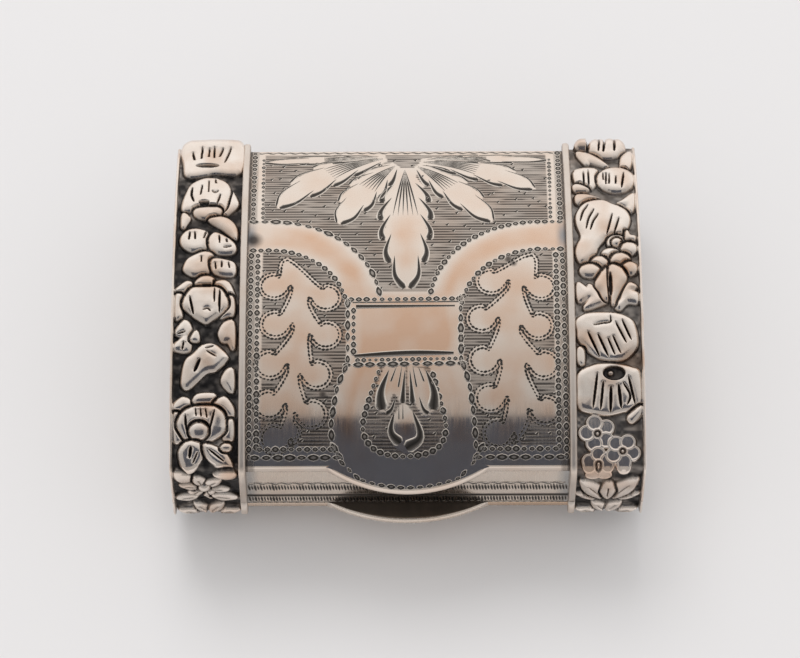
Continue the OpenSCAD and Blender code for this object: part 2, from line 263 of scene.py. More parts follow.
def sheet_under(v):
    """The sheet's thickness: thinner round its bends, where the walls are let into it."""
    return np.where(np.abs(v) < ARC_END, -SHEET, -0.2)


bottom_h = 0.004 * wobble(bx, bv, 3.0, 11)
bottom_sheet = pressed("base_bottom_sheet", bottom_x, bottom_v, bottom_h, sheet_under(bottom_v), on_base,
                       (burnished_silver, fire_gilt),
                       burnish=np.clip(0.5 + 0.5 * wobble(bx, bv, 4.0, 12), 0, 1))
set_in("base_bottom_sheet", bottom_sheet, "base", "silver", "base_bottom")

# Base walls
# A low band of sheet silver round the base, gilt inside. Its upper edge is the seam that the lid closes on:
# a little rounded by handling, with sulphide along it and blue toning beside the border wires.

SET_BACK = 0.012  # the walls stand this far inside the sheet's edge
LET_IN = 0.12  # and end this far under its face


def wall_band(name, edge_z, up, wall, thick, body, node):
    """The four walls between the seam and the domed sheet, as one ring with soft edges."""
    along, across = np.linspace(-1, 1, 145)[:-1], np.linspace(-1, 1, 33)[:-1]
    ring = np.array([(s, -1.0) for s in along] + [(1.0, s) for s in across]
                    + [(-s, 1.0) for s in along] + [(-1.0, -s) for s in across])
    soft = 0.07
    # inset from the outer face, height from the seam (None is up to the sheet) and sulphide
    section = [(SET_BACK, None, 0.0), (SET_BACK, 0.2, 0.0), (SET_BACK, soft, 0.75),
               (soft * 0.3, soft * 0.3, 0.9), (soft, 0.0, 0.9), (thick - soft, 0.0, 0.3),
               (thick - soft * 0.3, soft * 0.3, 0.0), (thick, soft, 0.0), (thick, None, 0.0)]
    rings, shade = [], []
    for inset, height, dark in section:
        xy = ring * [HALF_W - inset, HALF_D - inset]
        under_sheet = wall + DOME_RISE - DOME_R + np.sqrt((DOME_R - LET_IN) ** 2 - xy[:, 1] ** 2)
        z = under_sheet if height is None else np.full(len(ring), height)
        rings.append(np.column_stack([xy, edge_z + up * z]))
        shade.append(np.full(len(ring), dark))
    points, count = np.concatenate(rings), len(ring)
    faces, metal = [], []
    for k in range(len(section)):
        for i in range(count):
            j, m = (i + 1) % count, (k + 1) % len(section)
            quad = [k * count + i, m * count + i, m * count + j, k * count + j]
            faces.append(quad if up > 0 else quad[::-1])
            metal.append(1 if 4 <= k < len(section) - 1 else 0)
    mesh = bpy.data.meshes.new(name)
    mesh.from_pydata((points * MM).tolist(), [], faces)
    mesh.materials.append(burnished_silver)
    mesh.materials.append(fire_gilt)
    mesh.polygons.foreach_set("material_index", metal)
    by_wire = np.clip((np.abs(points[:, 0]) - 8.9) / 0.6, 0, 1) * (np.abs(points[:, 1]) > HALF_D - 0.05)
    give_points(mesh, "tarnish", np.concatenate(shade))
    give_points(mesh, "toning", 0.55 * by_wire)
    set_in(name, mesh, body, "silver", node)


wall_band("base_wall_band", BASE_EDGE_Z, -1, BASE_WALL, SHEET, "base", "base_band")

# Base borders
# Two cast strips of flowers, shells and leaves across the ends of the base, bent over its edges and soldered
# on. The crowns that the box stands on are worn flat; black sulphide fills the ground between the motifs.

BORDER_W, WIRE_W, RIM_W, BORDER_H = 4.55, 0.42, 0.3, 0.5
BORDER_IN = HALF_W - BORDER_W
FIELD_X = (BORDER_IN + WIRE_W + HALF_W - RIM_W) / 2

# Cast silver: rounded, softly shining forms, bright on the crowns and black in the hollows.
cast_silver = sterling("sterling_silver_cast_relief", "#F3E7DC", "#DCC0AB", "#1E1E21",
                       rough=0.17, cloud_mm=1.1, scratch=0.05)


def blurred(field, steps):
    """The field evened out over `steps` points each way."""
    for axis in (0, 1):
        pad = [(steps + 1, steps) if a == axis else (0, 0) for a in (0, 1)]
        total = np.cumsum(np.pad(field, pad, mode="edge"), axis)
        size = field.shape[axis]
        ahead = np.take(total, np.arange(2 * steps + 1, 2 * steps + 1 + size), axis)
        field = (ahead - np.take(total, np.arange(size), axis)) / (2 * steps + 1)
    return field


def smooth_path(points, per=6):
    """A smooth line through the points. It is a closed outline if it ends where it starts."""
    p = np.array(points, float)
    if len(p) < 3:
        t = np.linspace(0, 1, 2 * per + 1)[:, None]
        return p[0] * (1 - t) + p[-1] * t
    before, after = 2 * p[0] - p[1], 2 * p[-1] - p[-2]
    if np.allclose(p[0], p[-1]):
        before, after = p[-2], p[1]
    ends = np.concatenate([[before], p, [after]])
    t = np.linspace(0, 1, per, endpoint=False)[:, None]
    parts = []
    for a, b, c, d in zip(ends, ends[1:], ends[2:], ends[3:]):
        bend, twist = 2 * a - 5 * b + 4 * c - d, 3 * b - a - 3 * c + d
        parts.append(0.5 * (2 * b + (c - a) * t + bend * t ** 2 + twist * t ** 3))
    return np.concatenate(parts + [p[-1:]])


def inside(outline, x, v):
    """True where the point lies in the closed outline."""
    hit = np.zeros(np.shape(x), bool)
    for (x0, v0), (x1, v1) in zip(outline, np.roll(outline, -1, 0)):
        if v0 != v1:
            hit ^= ((v0 > v) != (v1 > v)) & (x < (x1 - x0) * (v - v0) / (v1 - v0) + x0)
    return hit


def from_line(path, x, v):
    """How far the points lie from the path, and how far along it (0 to 1) the nearest place is."""
    far, along = np.full(np.shape(x), 9.0), np.zeros(np.shape(x))
    for k, ((x0, v0), (x1, v1)) in enumerate(zip(path[:-1], path[1:])):
        dx, dv = x1 - x0, v1 - v0
        t = np.clip(((x - x0) * dx + (v - v0) * dv) / max(dx * dx + dv * dv, 1e-9), 0, 1)
        off = np.hypot(x - x0 - t * dx, v - v0 - t * dv)
        along = np.where(off < far, (k + t) / (len(path) - 1), along)
        far = np.minimum(far, off)
    return far, along


def form(*points, high=0.36):
    """A raised shape: its outline, in mm from the middle of the strip and along it, and its height."""
    return ("form", smooth_path(points + points[:1], 4), high)


def oval(x, v, half_w, half_l, high=0.36):
    """A raised round shape."""
    turn = np.linspace(0, 2 * math.pi, 25)
    return ("form", np.column_stack([x + half_w * np.cos(turn), v + half_l * np.sin(turn)]), high)


def petal(x, v, half_w, half_l, high=0.36):
    """A raised round shape that runs into those beside it."""
    return ("petal", oval(x, v, half_w, half_l)[1], high)


def sunk(x, v, half_w, half_l, floor):
    """A round hollow, with a flat floor at this height."""
    return ("sunk", oval(x, v, half_w, half_l)[1], floor)


def slit(half, *points):
    """A cut in the shapes below it: its path and its half width."""
    return ("slit", smooth_path(points, 4), half)


def cast_border(name, node, body, side, lay, reach, step, motifs, grime, seed):
    """One relief strip: forms stand on a sunk, grimy ground, each parted from those before it by a dark line;
    slits and hollows are cut in them."""
    edge_in, edge_out = BORDER_IN + WIRE_W - 0.04, HALF_W
    xs = np.linspace(edge_in, edge_out, int((edge_out - edge_in) / step) + 1)
    xs = xs if side > 0 else -xs[::-1]
    vs = np.linspace(-reach, reach, int(2 * reach / step) + 1)
    gx, gv = np.meshgrid(xs - side * FIELD_X, vs)
    raised, cut = np.zeros_like(gx), np.zeros_like(gx)
    spread = {"form": 0.19, "petal": 0.13}  # how far a shape swells past its outline
    edge_round = {"form": 0.5, "petal": 0.16}  # how broad the rounding of its edge is
    for kind, path, size in motifs:
        low, top = path.min(0) - 0.25, path.max(0) + 0.25
        patch = np.ix_((vs > low[1]) & (vs < top[1]), (gx[0] > low[0]) & (gx[0] < top[0]))
        px, pv = gx[patch], gv[patch]
        far, along = from_line(path, px, pv)
        if kind in spread:
            deep = np.where(inside(path[:-1], px, pv), far, -far) + spread[kind]
            round_in = min(deep.max(), edge_round[kind])
            crown = size * np.sqrt(1 - np.clip(1 - deep / round_in, 0, 1) ** 2)
            crown += 0.06 * np.clip(deep / 1.2, 0, 1)
            if kind == "petal":
                raised[patch] = np.maximum(raised[patch], np.where(deep > 0, crown, 0))
                cut[patch] = np.where(deep > 0, 0, cut[patch])
                continue
            parted = raised[patch] * np.clip(-deep / 0.1 - 0.1, 0, 1) ** 0.6
            raised[patch] = np.where(deep > 0, crown, parted)
            cut[patch] = np.where(deep > 0, 0, np.maximum(cut[patch], (raised[patch] > 0) * (deep > -0.06)))
        elif kind == "sunk":
            deep = np.clip(far / 0.1, 0, 1) * inside(path[:-1], px, pv)
            raised[patch] += (size - raised[patch]) * deep
            cut[patch] = np.maximum(cut[patch], deep * (size < 0.2))
        else:
            full = 0.75 * size * np.clip(1 - np.abs(2 * along - 1) ** 3, 0.05, 1) ** 0.6
            deep = np.clip(1 - far / full, 0, 1)
            flute = 0.07 * np.exp(-(far / 0.15) ** 2) * np.clip(1 - np.abs(2 * along - 1) ** 4, 0, 1)
            raised[patch] = np.maximum(raised[patch] - 0.3 * deep ** 0.6 - flute * (raised[patch] > 0.2), 0)
            cut[patch] = np.maximum(cut[patch], deep ** 0.35)
    rough = 0.05 * wobble(gx, gv, 0.45, seed) + 0.02 * wobble(gx, gv, 0.2, seed + 1)
    ground = 0.11 + rough * np.clip(1 - raised / 0.15, 0, 1)
    # The lid's strips were beaten over the box's back edge, and stand thicker there.
    lift = 1 + 0.7 * np.exp(-((gv + BEND_END) / 0.8) ** 2) * (reach > BASE_REACH)
    height = ground + raised * lift * (1 + 0.02 * wobble(gx, gv, 0.9, seed + 2))
    height += 0.002 * wobble(gx, gv, 0.5, seed + 3) * (raised > 0.1)
    near = blurred(height, max(1, int(0.09 / step))) - height
    tarnish = np.clip(5 * near, 0, 0.6) + 0.9 * cut
    rubbed = np.clip(wobble(gx, gv, 1.1, seed + 4) - 0.1, 0, 1)
    patches = rubbed * (0.6 + 0.4 * wobble(gx, gv, 0.2, seed + 6))
    dirt = grime - 0.5 * patches + 0.1 * wobble(gx, gv, 0.3, seed + 7)
    tarnish = np.maximum(tarnish, np.clip((0.24 - raised) / 0.14, 0, 1) * dirt)
    # The walls are rubbed less than the dome, so a grey film stays on the forms there.
    film = 0.17 * np.clip((np.abs(gv) - BEND_END) / 0.6, 0, 1)
    tarnish += film * (1 + 0.5 * wobble(gx, gv, 0.7, seed + 8))
    # The rim is a thin plain edge, rubbed bright, and worn down where it bends over the back.
    thin = 0.18
    rim = (side * gx + FIELD_X - (HALF_W - thin)) / thin
    worn = 1 - 0.6 * np.exp(-(gv + BEND_END) ** 2)
    rim_h = (BORDER_H - 0.14 * np.abs(2 * np.clip(rim, 0, 1) - 1) ** 3) * worn
    height = np.where(rim > 0, rim_h, height)
    tarnish = np.where(rim > 0, 0.6 * np.clip(1 - rim * 5, 0, 1), tarnish)
    strip = pressed(name, xs, vs, height, 0.0, lay, (cast_silver,), tarnish=np.clip(tarnish, 0, 0.97),
                    burnish=np.clip(0.9 * wobble(gx, gv, 1.3, seed + 5), 0, 1))
    set_in(name, strip, body, "silver", node)


def standing(x, v, h):
    """On the base, with everything that would reach below the table worn away."""
    p = on_base(x, v, h)
    p[..., 2] = np.maximum(p[..., 2], 0.0)
    return p


def shell(x, v, half_w, half_l, ribs):
    """A fluted shell: a round form with slits that fan out over it."""
    parts = [oval(x, v, half_w, half_l)]
    for k in range(ribs):
        s = (2 * k + 1) / ribs - 1
        tip = 0.75 * half_l * (1 - 0.3 * s * s)
        parts.append(slit(0.1, (x + 0.4 * s * half_w, v - 0.45 * half_l), (x + 0.78 * s * half_w, v + tip)))
    return parts


def flower(x, v, r, turn):
    """A flower of five broad dished petals, each over the last, round a beaded heart."""
    parts = [oval(x, v, 0.5 * r, 0.5 * r, 0.3)]
    for k in range(5):
        a, b = x + 0.58 * r * math.cos(turn + k * 1.26), v + 0.58 * r * math.sin(turn + k * 1.26)
        parts += [petal(a, b, 0.4 * r, 0.38 * r), sunk(a, b, 0.44 * r, 0.42 * r, 0.28)]
    return parts + [petal(x, v, 0.2 * r, 0.2 * r, 0.42), sunk(x, v, 0.24 * r, 0.24 * r, 0.14),
                    petal(x, v, 0.02 * r, 0.02 * r, 0.36)]


def plain_leaf(x0, v0, x1, v1, half):
    """A pointed leaf from its foot to its tip, with a vein."""
    foot, run = np.array([x0, v0]), np.array([x1 - x0, v1 - v0])
    wide = np.array([-run[1], run[0]]) * half / np.hypot(*run)
    edge = [foot, foot + 0.35 * run + wide, foot + 0.7 * run + 0.8 * wide, foot + run,
            foot + 0.7 * run - 0.8 * wide, foot + 0.35 * run - wide]
    return [form(*edge), slit(0.05, foot + 0.1 * run, foot + 0.75 * run)]


def daisy(x, v, r, turn):
    """A daisy of six narrow veined petals, each over the last, round a bead."""
    parts = []
    for k in range(6):
        a, b = r * math.cos(turn + k * 1.05), r * math.sin(turn + k * 1.05)
        parts += plain_leaf(x + 0.2 * a, v + 0.2 * b, x + a, v + b, 0.2 * r)
    return parts + [oval(x, v, 0.16 * r, 0.16 * r, 0.42)]


def sprig(v, way):
    """Leaves that spread from a bead over a wall; way is 1 on the front and -1 on the back."""
    parts = plain_leaf(0, v - 0.3 * way, 0, v - 1.3 * way, 0.32)
    for s in (-1, 1):
        parts += plain_leaf(0.3 * s, v + 0.1 * way, 1.7 * s, v - 0.5 * way, 0.36)
        parts += plain_leaf(0.3 * s, v + 0.4 * way, 1.8 * s, v + 0.8 * way, 0.3)
        parts += plain_leaf(0.1 * s, v + 0.6 * way, 0.8 * s, v + 1.7 * way, 0.28)
    return parts + [oval(0, v, 0.25, 0.25)]


BASE_REACH = BEND_END + BEND_Z + BASE_WALL
base_motifs = shell(0, 0, 1.75, 1.8, 4)
for q in (-1, 1):
    base_motifs += shell(0, q * 4.2, 1.6, 1.45, 5) + flower(0.1 * q, q * 7.5, 1.5, 0.4 * q)
    base_motifs += sprig(q * 11.0, q)
    for s in (-1, 1):
        base_motifs += plain_leaf(s * 1.75, q * 2.1, s * 1.1, q * 2.9, 0.25)
        base_motifs += plain_leaf(s * 1.75, q * 5.4, s * 0.9, q * 6.2, 0.28)
for side, end in ((-1, "left"), (1, "right")):
    cast_border("base_relief_" + end, "base_border_" + end, "base", side, standing, BASE_REACH,
                step=0.055, motifs=base_motifs, grime=0.85, seed=20 + side)

# Base wires
# A plain drawn silver wire along the inner edge of each border, bent over the box with it and soldered down.
# Its top is rubbed bright, and sulphide lies in the corner beside it.

# Drawn wire: soft, streaky shine from many years of rubbing.
drawn_silver = sterling("sterling_silver_drawn_wire", "#EFE3D8", "#DCC3AE", "#2A2524",
                        rough=0.4, cloud_mm=1.5, scratch=0.05)


def border_wire(name, node, body, side, lay, reach):
    """One wire, with its section rounded on top."""
    turn = np.linspace(0, math.pi, 9)
    edge_h = 0.34
    across, rise = WIRE_W / 2 * (1 - np.cos(turn)), edge_h + (BORDER_H - edge_h) * np.sin(turn) ** 0.6
    xs = BORDER_IN + across if side > 0 else -(BORDER_IN + across)[::-1]
    bends = [np.linspace(s * ARC_END, s * BEND_END, 9) for s in (-1, 1)]
    vs = np.unique(np.concatenate([np.linspace(-ARC_END, ARC_END, 121), *bends, [-reach, reach]]))
    gx, gv = np.meshgrid(xs, vs)
    height = rise + 0.008 * (wobble(gx, gv, 1.1, 31) - 1)
    shade = np.broadcast_to(0.1 + np.clip((0.42 - rise) / 0.08, 0, 1) * 0.55, gx.shape)
    wire = pressed(name, xs, vs, height, 0.0, lay, (drawn_silver,), tarnish=shade)
    set_in(name, wire, body, "silver", node)


for side, end in ((-1, "left"), (1, "right")):
    border_wire("base_wire_drawn_" + end, "base_wire_" + end, "base", side, standing, BASE_REACH)

# Base lip
# A crescent of thick sheet under the front of the base, for the thumb. Its edge is filed round and polished;
# its upper face, in the shade of the lid's lip, is painted dark: painted shade, with some tarnish.

LIP_W, LIP_T = 9.8, 0.55
LIP_LIFT = 0.012  # the lips stand this far off the slope of the sheet
DOME_SLOPE = math.asin(HALF_D / DOME_R)


def lip_radius(far_out):
    """The radius of the edge of a lip that reaches this far out."""
    return (LIP_W ** 2 / 4 + far_out ** 2) / (2 * far_out)


def crescent_lip(name, node, body, edge_z, up, wall, far_out, dark, metal):
    """A thumb lip that carries the dome's slope on past the wall."""
    arc = lip_radius(far_out)
    xs = (LIP_W / 2 - 0.01) * np.sin(np.linspace(-math.pi / 2, math.pi / 2, 65))
    lap = 0.4 if up > 0 else -0.01  # the lid's lip laps over the cover, the base's lip starts at the wall
    drop, tall, soft = math.tan(DOME_SLOPE), LIP_T / math.cos(DOME_SLOPE), 0.13
    # How far out, and how far through the thickness from the dome's side
    section = [(0.0, 0.0), (0.35, 0.0), (0.7, 0.0), (0.9, 0.0)] + [(1.0, a) for a in np.linspace(0, 1, 9)]
    section += [(0.9, 1.0), (0.5, 1.0), (0.0, 1.0)]
    points, shade = [], []
    for x in xs:
        deep = max(math.sqrt(arc ** 2 - x ** 2) - (arc - far_out), 0.02)
        bevel = min(soft, deep * 0.45)
        for out, through in section:
            behind = lap if out == 0.0 and through == 0.0 else 0.01
            d = out * (deep - bevel) - behind * min(deep / 0.4, 1)
            if out == 1.0:
                d += bevel * max(math.sin(math.pi * through), 0.0) ** 0.7
            points.append((x, -HALF_D - d, edge_z + up * (wall + LIP_LIFT - d * drop - through * tall)))
            # The face toward the seam gets `dark`: painted shade, over the base's lip and under the lid's
            # lip, with some tarnish
            shade.append(dark if through == 1.0 and out < 1.0 else 0.0)
    count = len(section)
    faces = []
    for i in range(0, len(points) - count, count):
        for k in range(count):
            n = (k + 1) % count
            faces.append([i + k, i + count + k, i + count + n, i + n])
    faces += [list(range(count)), list(range(len(points) - count, len(points)))[::-1]]
    if up > 0:
        faces = [f[::-1] for f in faces]
    mesh = bpy.data.meshes.new(name)
    mesh.from_pydata((np.array(points) * MM).tolist(), [], faces)
    mesh.materials.append(metal)
    mesh.polygons.foreach_set("use_smooth", np.ones(len(mesh.polygons), bool))
    mesh.set_sharp_from_angle(angle=math.radians(40))
    give_points(mesh, "tarnish", shade)
    set_in(name, mesh, body, "silver", node)


BASE_LIP = 1.6
crescent_lip("base_thumb_lip", "base_thumbpiece", "base", BASE_EDGE_Z, -1, BASE_WALL,
             far_out=BASE_LIP, dark=0.8, metal=burnished_silver)

# Base engraving
# Milled strokes and a wriggled line along the base's front under the seam, and a chain of punched beads round
# the panel of the bottom: cut and struck in the sheet, with a burr at each mark and sulphide in it.

# Cut silver: the marks themselves, bright along the burr and black inside.
cut_silver = sterling("sterling_silver_graver_cut", "#EDE2D6", "#DCC8B6", "#1B1818",
                      rough=0.22, cloud_mm=1.0, scratch=0.0)


def punch(name, rings):
    """The mark of a punch, a unit each way: rings of radius, height and sulphide, from the burr to the
    middle. A ring has eight points, every other one a little nearer the middle."""
    points, shade, faces = [], [], []
    for r, h, s in rings:
        for k in range(8):
            lobe = r * (1.0 if k % 2 == 0 else 0.9)
            points.append((lobe * math.cos(k * math.pi / 4), lobe * math.sin(k * math.pi / 4), h))
            shade.append(s)
    for start in range(0, len(points) - 8, 8):
        for k in range(8):
            n = (k + 1) % 8
            faces.append([start + k, start + n, start + 8 + n, start + 8 + k])
    faces.append(list(range(len(points) - 8, len(points))))
    mesh = bpy.data.meshes.new(name)
    mesh.from_pydata(points, [], faces)
    give_points(mesh, "tarnish", shade)
    return put(name, mesh)


punched_bead = punch("punched_bead", [
    (1.18, -0.1, 0.0), (1.03, 0.6, 0.0), (0.88, 0.1, 0.95), (0.52, 0.2, 0.9), (0.3, 0.35, 0.55)])
punched_dot = punch("punched_dot", [(1.1, -0.1, 0.3), (0.92, 0.3, 0.9), (0.4, 0.2, 0.95)])

# The section of a graver's cut, a unit to each side: a burr, a black groove and a burr.
cut_section = [(-1.3, -0.12, 0.0), (-1.0, 0.22, 0.0), (-0.72, 0.08, 0.85), (0.0, 0.02, 0.95),
               (0.72, 0.08, 0.85), (1.0, 0.22, 0.0), (1.3, -0.12, 0.0)]
cut_mesh = bpy.data.meshes.new("graver_section")
cut_mesh.from_pydata([(a, -b, 0) for a, b, s in cut_section], [(k, k + 1) for k in range(6)], [])
give_points(cut_mesh, "tarnish", [s for a, b, s in cut_section])
graver_section = put("graver_section", cut_mesh)


def open_tree(name, sockets):
    """An empty node tree with a geometry in and out and the named inputs."""
    tree = bpy.data.node_groups.new(name, "GeometryNodeTree")
    tree.interface.new_socket("Geometry", in_out="INPUT", socket_type="NodeSocketGeometry")
    for label, kind in sockets.items():
        tree.interface.new_socket(label, in_out="INPUT", socket_type="NodeSocket" + kind)
    tree.interface.new_socket("Geometry", in_out="OUTPUT", socket_type="NodeSocketGeometry")
    return tree, add(tree, "NodeGroupInput").outputs


def on_lines(tree, name):
    """What the lines carry under this name."""
    return add(tree, "GeometryNodeInputNamedAttribute", {"Name": name}, data_type="FLOAT").outputs[0]


def close_tree(tree, marks, metal):
    """Makes the marks real, of this metal, and hands them on."""
    real = add(tree, "GeometryNodeRealizeInstances", {"Geometry": marks})
    coated = add(tree, "GeometryNodeSetMaterial", {"Geometry": real.outputs[0], "Material": metal})
    add(tree, "NodeGroupOutput", {"Geometry": coated.outputs[0]})


# Beads along lines: each line carries its own pitch, bead length, bead width and slant.
CHAIN_KEYS = ("pitch", "long", "wide", "slant")
chain_tree, given = open_tree("punched_chain", {
    "Bead": "Object", "Burr": "Float", "Unevenness": "Float", "Seed": "Int", "Metal": "Material"})
pitch, long, wide, slant = (on_lines(chain_tree, key) for key in CHAIN_KEYS)
chain = add(chain_tree, "GeometryNodeMeshToCurve", {"Mesh": given["Geometry"]}).outputs[0]
chain = add(chain_tree, "GeometryNodeResampleCurve", {"Curve": chain, "Length": pitch}, mode="LENGTH")
tangent = add(chain_tree, "GeometryNodeInputTangent").outputs[0]
heading = add(chain_tree, "ShaderNodeSeparateXYZ", {0: tangent}).outputs
angle = reckon(chain_tree, "ADD", reckon(chain_tree, "ARCTAN2", heading[1], heading[0]), slant)
turned = add(chain_tree, "ShaderNodeCombineXYZ", {2: angle})
least = reckon(chain_tree, "SUBTRACT", 1.0, given["Unevenness"])
most = reckon(chain_tree, "ADD", 1.0, given["Unevenness"])
uneven = add(chain_tree, "FunctionNodeRandomValue", {2: least, 3: most, "Seed": given["Seed"]},
             data_type="FLOAT").outputs[1]
size = add(chain_tree, "ShaderNodeCombineXYZ", {
    0: reckon(chain_tree, "MULTIPLY", long, uneven), 1: reckon(chain_tree, "MULTIPLY", wide, uneven),
    2: given["Burr"]})
bead = add(chain_tree, "GeometryNodeObjectInfo", {"Object": given["Bead"]})
struck = add(chain_tree, "GeometryNodeInstanceOnPoints", {
    "Points": chain.outputs[0], "Instance": bead.outputs["Geometry"], "Rotation": turned.outputs[0],
    "Scale": size.outputs[0]})
close_tree(chain_tree, struck.outputs[0], given["Metal"])

# Graver cuts along lines: each point carries the cut's half width there.
cut_tree, given = open_tree("graver_cuts", {"Section": "Object", "Metal": "Material"})
route = add(cut_tree, "GeometryNodeMeshToCurve", {"Mesh": given["Geometry"]})
route = add(cut_tree, "GeometryNodeSetCurveNormal", {"Curve": route.outputs[0]}, mode="Z_UP")
section = add(cut_tree, "GeometryNodeObjectInfo", {"Object": given["Section"]})
section = add(cut_tree, "GeometryNodeMeshToCurve", {"Mesh": section.outputs["Geometry"]})
cut = add(cut_tree, "GeometryNodeCurveToMesh", {
    "Curve": route.outputs[0], "Profile Curve": section.outputs[0], "Scale": on_lines(cut_tree, "width")})
close_tree(cut_tree, cut.outputs[0], given["Metal"])

OFF_SHEET = 0.008  # the marks stand this far off the sheet


def engrave(name, lines, keys, tree, inputs, lay, body):
    """Draws the lines flat, runs the tree on them, and lays the marks on the piece."""
    points, edges, values = [], [], {k: [] for k in keys}
    for line in lines:
        start, count = len(points), len(line["path"])
        points += [(x, -v, 0.0) for x, v in line["path"]]
        edges += [(start + i, start + i + 1) for i in range(count - 1)]
        for k in keys:
            values[k] += list(np.broadcast_to(line[k], (count,)))
    guide = bpy.data.meshes.new(name)
    guide.from_pydata(points, edges, [])
    for k in keys:
        give_points(guide, k, values[k])
    drawing = put(name + "_lines", guide)
    work = drawing.modifiers.new("engraving", "NODES")
    work.node_group = tree
    for socket in tree.interface.items_tree:
        if socket.in_out == "INPUT" and socket.name in inputs:
            work[socket.identifier] = inputs[socket.name]
    mesh = bpy.data.meshes.new_from_object(drawing.evaluated_get(bpy.context.evaluated_depsgraph_get()))
    drawing.modifiers.remove(work)
    bpy.data.objects.remove(drawing)
    flat = np.zeros(len(mesh.vertices) * 3)
    mesh.vertices.foreach_get("co", flat)
    flat = flat.reshape(-1, 3)
    mesh.vertices.foreach_set("co", (lay(flat[:, 0], -flat[:, 1], flat[:, 2] + OFF_SHEET) * MM).ravel())
    if lay(0.0, 0.0, 1.0)[2] < lay(0.0, 0.0, 0.0)[2]:
        mesh.flip_normals()
    mesh.polygons.foreach_set("use_smooth", np.ones(len(mesh.polygons), bool))
    mesh.update()
    mesh.name = name
    set_in(name, mesh, body, "silver")


def wriggled(x0, x1, v, pitch=0.42, swing=0.05, half=0.045):
    """A wriggled line along x: the graver is rocked from side to side as it goes."""
    xs = np.arange(x0, x1, pitch / 4)
    step = np.arange(len(xs)) * math.pi / 2
    path = np.column_stack([xs, v + swing * np.sin(step + 0.4)])
    return {"path": path, "width": half * (0.75 + 0.35 * np.cos(step))}


def milled(x0, x1, v, tall, slant, pitch=0.18):
    """A row of short upright strokes, as a milling wheel leaves."""
    return {"path": [(x0, v), (x1, v)], "pitch": pitch, "long": 0.065, "wide": tall, "slant": slant}


def row(style, *points):
    """A chain of beads of this style along a straight line."""
    return {"path": points, **style}


PANEL = 9.6  # half width of the engraved panels, between the wires
RING = {"pitch": 0.45, "long": 0.21, "wide": 0.17, "slant": 0}
marks = {"Bead": punched_bead, "Burr": 0.02, "Unevenness": 0.26, "Seed": 4, "Metal": cut_silver}
dots = {**marks, "Bead": punched_dot}
cuts = {"Section": graver_section, "Metal": cut_silver}
base_strokes, base_chains = [milled(-PANEL, PANEL, BASE_REACH - 0.42, 0.3, -0.12)], []
base_cuts = [wriggled(-PANEL, PANEL, BASE_REACH - 0.80)]
for q in (-1, 1):
    base_chains += [row(RING, (-9.3, q * 10.2), (9.3, q * 10.2)),
                    row(RING, (q * 9.3, -9.8), (q * 9.3, 9.8))]
    base_cuts += [wriggled(-8.7, 8.7, q * 9.55),
                  {"path": [(q * 8.75, v) for v in np.linspace(-9.4, 9.4, 41)], "width": 0.04}]
engrave("base_punched_marks", base_chains, CHAIN_KEYS, chain_tree, marks, on_base, "base")
engrave("base_milled_strokes", base_strokes, CHAIN_KEYS, chain_tree, dots, on_base, "base")
engrave("base_graver_cuts", base_cuts, ("width",), cut_tree, cuts, on_base, "base")

# Bezel and grille
# The lining that the lid slides over, the ledge that the grille rests on, the pierced grille and the tubes
# and pin of its hinge: sheet and tube silver, fire-gilt so that the vinegar doesn't eat them.


def coat(metal, *nodes):
    """Gives solids of the frame their metal."""
    for node in nodes:
        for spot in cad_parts[node].material_slots:
            spot.material = metal


coat(fire_gilt, "bezel", "grille_bearer", "grille_lugs", "grille_pin", "grille_plate", "grille_knuckle_row",
     "grille_nib")

# Sponge
# A block of natural sponge, cut to lie on the gilt bottom under the grille, that held the scented vinegar:
# dry now, straw-coloured, full of round pores and a little shrunken at the edges.

sponge_low, sponge_high = (np.array(c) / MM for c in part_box("sponge"))
SHRUNK = 0.1
sponge_x = np.linspace(sponge_low[0] + SHRUNK, sponge_high[0] - SHRUNK, 181)
sponge_v = np.linspace(-sponge_high[1] + SHRUNK, -sponge_low[1] - SHRUNK, 131)
sx, sv = np.meshgrid(sponge_x, sponge_v)
pores = np.zeros_like(sx)
for hx, hv, hr in np.random.default_rng(7).uniform(-1, 1, (620, 3)):
    r = 0.28 + 0.22 * hr ** 2
    off = (sx - hx * sponge_high[0]) ** 2 + (sv - hv * sponge_high[1]) ** 2
    pores = np.maximum(pores, r * np.clip(1 - off / r ** 2, 0, 1) ** 0.5)
ROUND_IN = 0.9
rounding = np.clip((sponge_x[-1] - np.abs(sx)) / ROUND_IN, 0, 1)
rounding *= np.clip((sponge_v[-1] - np.abs(sv)) / ROUND_IN, 0, 1)
sponge_h = -0.12 - 0.9 * pores - 0.5 * (1 - np.sqrt(rounding)) + 0.05 * wobble(sx, sv, 1.3, 41)
sponge_h += 0.05 * wobble(sx, sv, 0.35, 42)

# Dry sponge: matt, fibrous and straw-brown, painted darker down in the pores: painted shade.
dry_sponge, sponge_tree, sponge_surface = new_material("natural_sponge_dry")
fibre = noise(sponge_tree, add(sponge_tree, "ShaderNodeTexCoord").outputs["Object"], 0.25, 5.0)
straw = mix(sponge_tree, fibre, linear("#B08A55"), linear("#D9BE8C"))
felted = add(sponge_tree, "ShaderNodeBump", {"Height": fibre, "Strength": 0.6, "Distance": 0.1 * MM})
plug(sponge_tree, sponge_surface, {
    "Base Color": mix(sponge_tree, point_value(sponge_tree, "tarnish"), straw, linear("#5A3F22")),
    "Roughness": 0.95, "Normal": felted.outputs[0]})


def in_box(x, v, h):
    return np.stack([x + 0.0 * h, -v + 0.0 * h, sponge_high[2] + h], -1)


base_inside = BASE_EDGE_Z - BASE_WALL - DOME_RISE + DOME_R - np.sqrt((DOME_R - SHEET) ** 2 - sponge_v ** 2)
sponge_under = base_inside + SHRUNK - sponge_high[2]
# The pores are painted darker by their depth: painted shade
sponge_mesh = pressed("sponge_block", sponge_x, sponge_v, sponge_h, sponge_under, in_box, (dry_sponge,),
                      tarnish=np.clip(2.0 * pores, 0, 0.9))
set_in("sponge_block", sponge_mesh, "base", "sponge", "sponge")

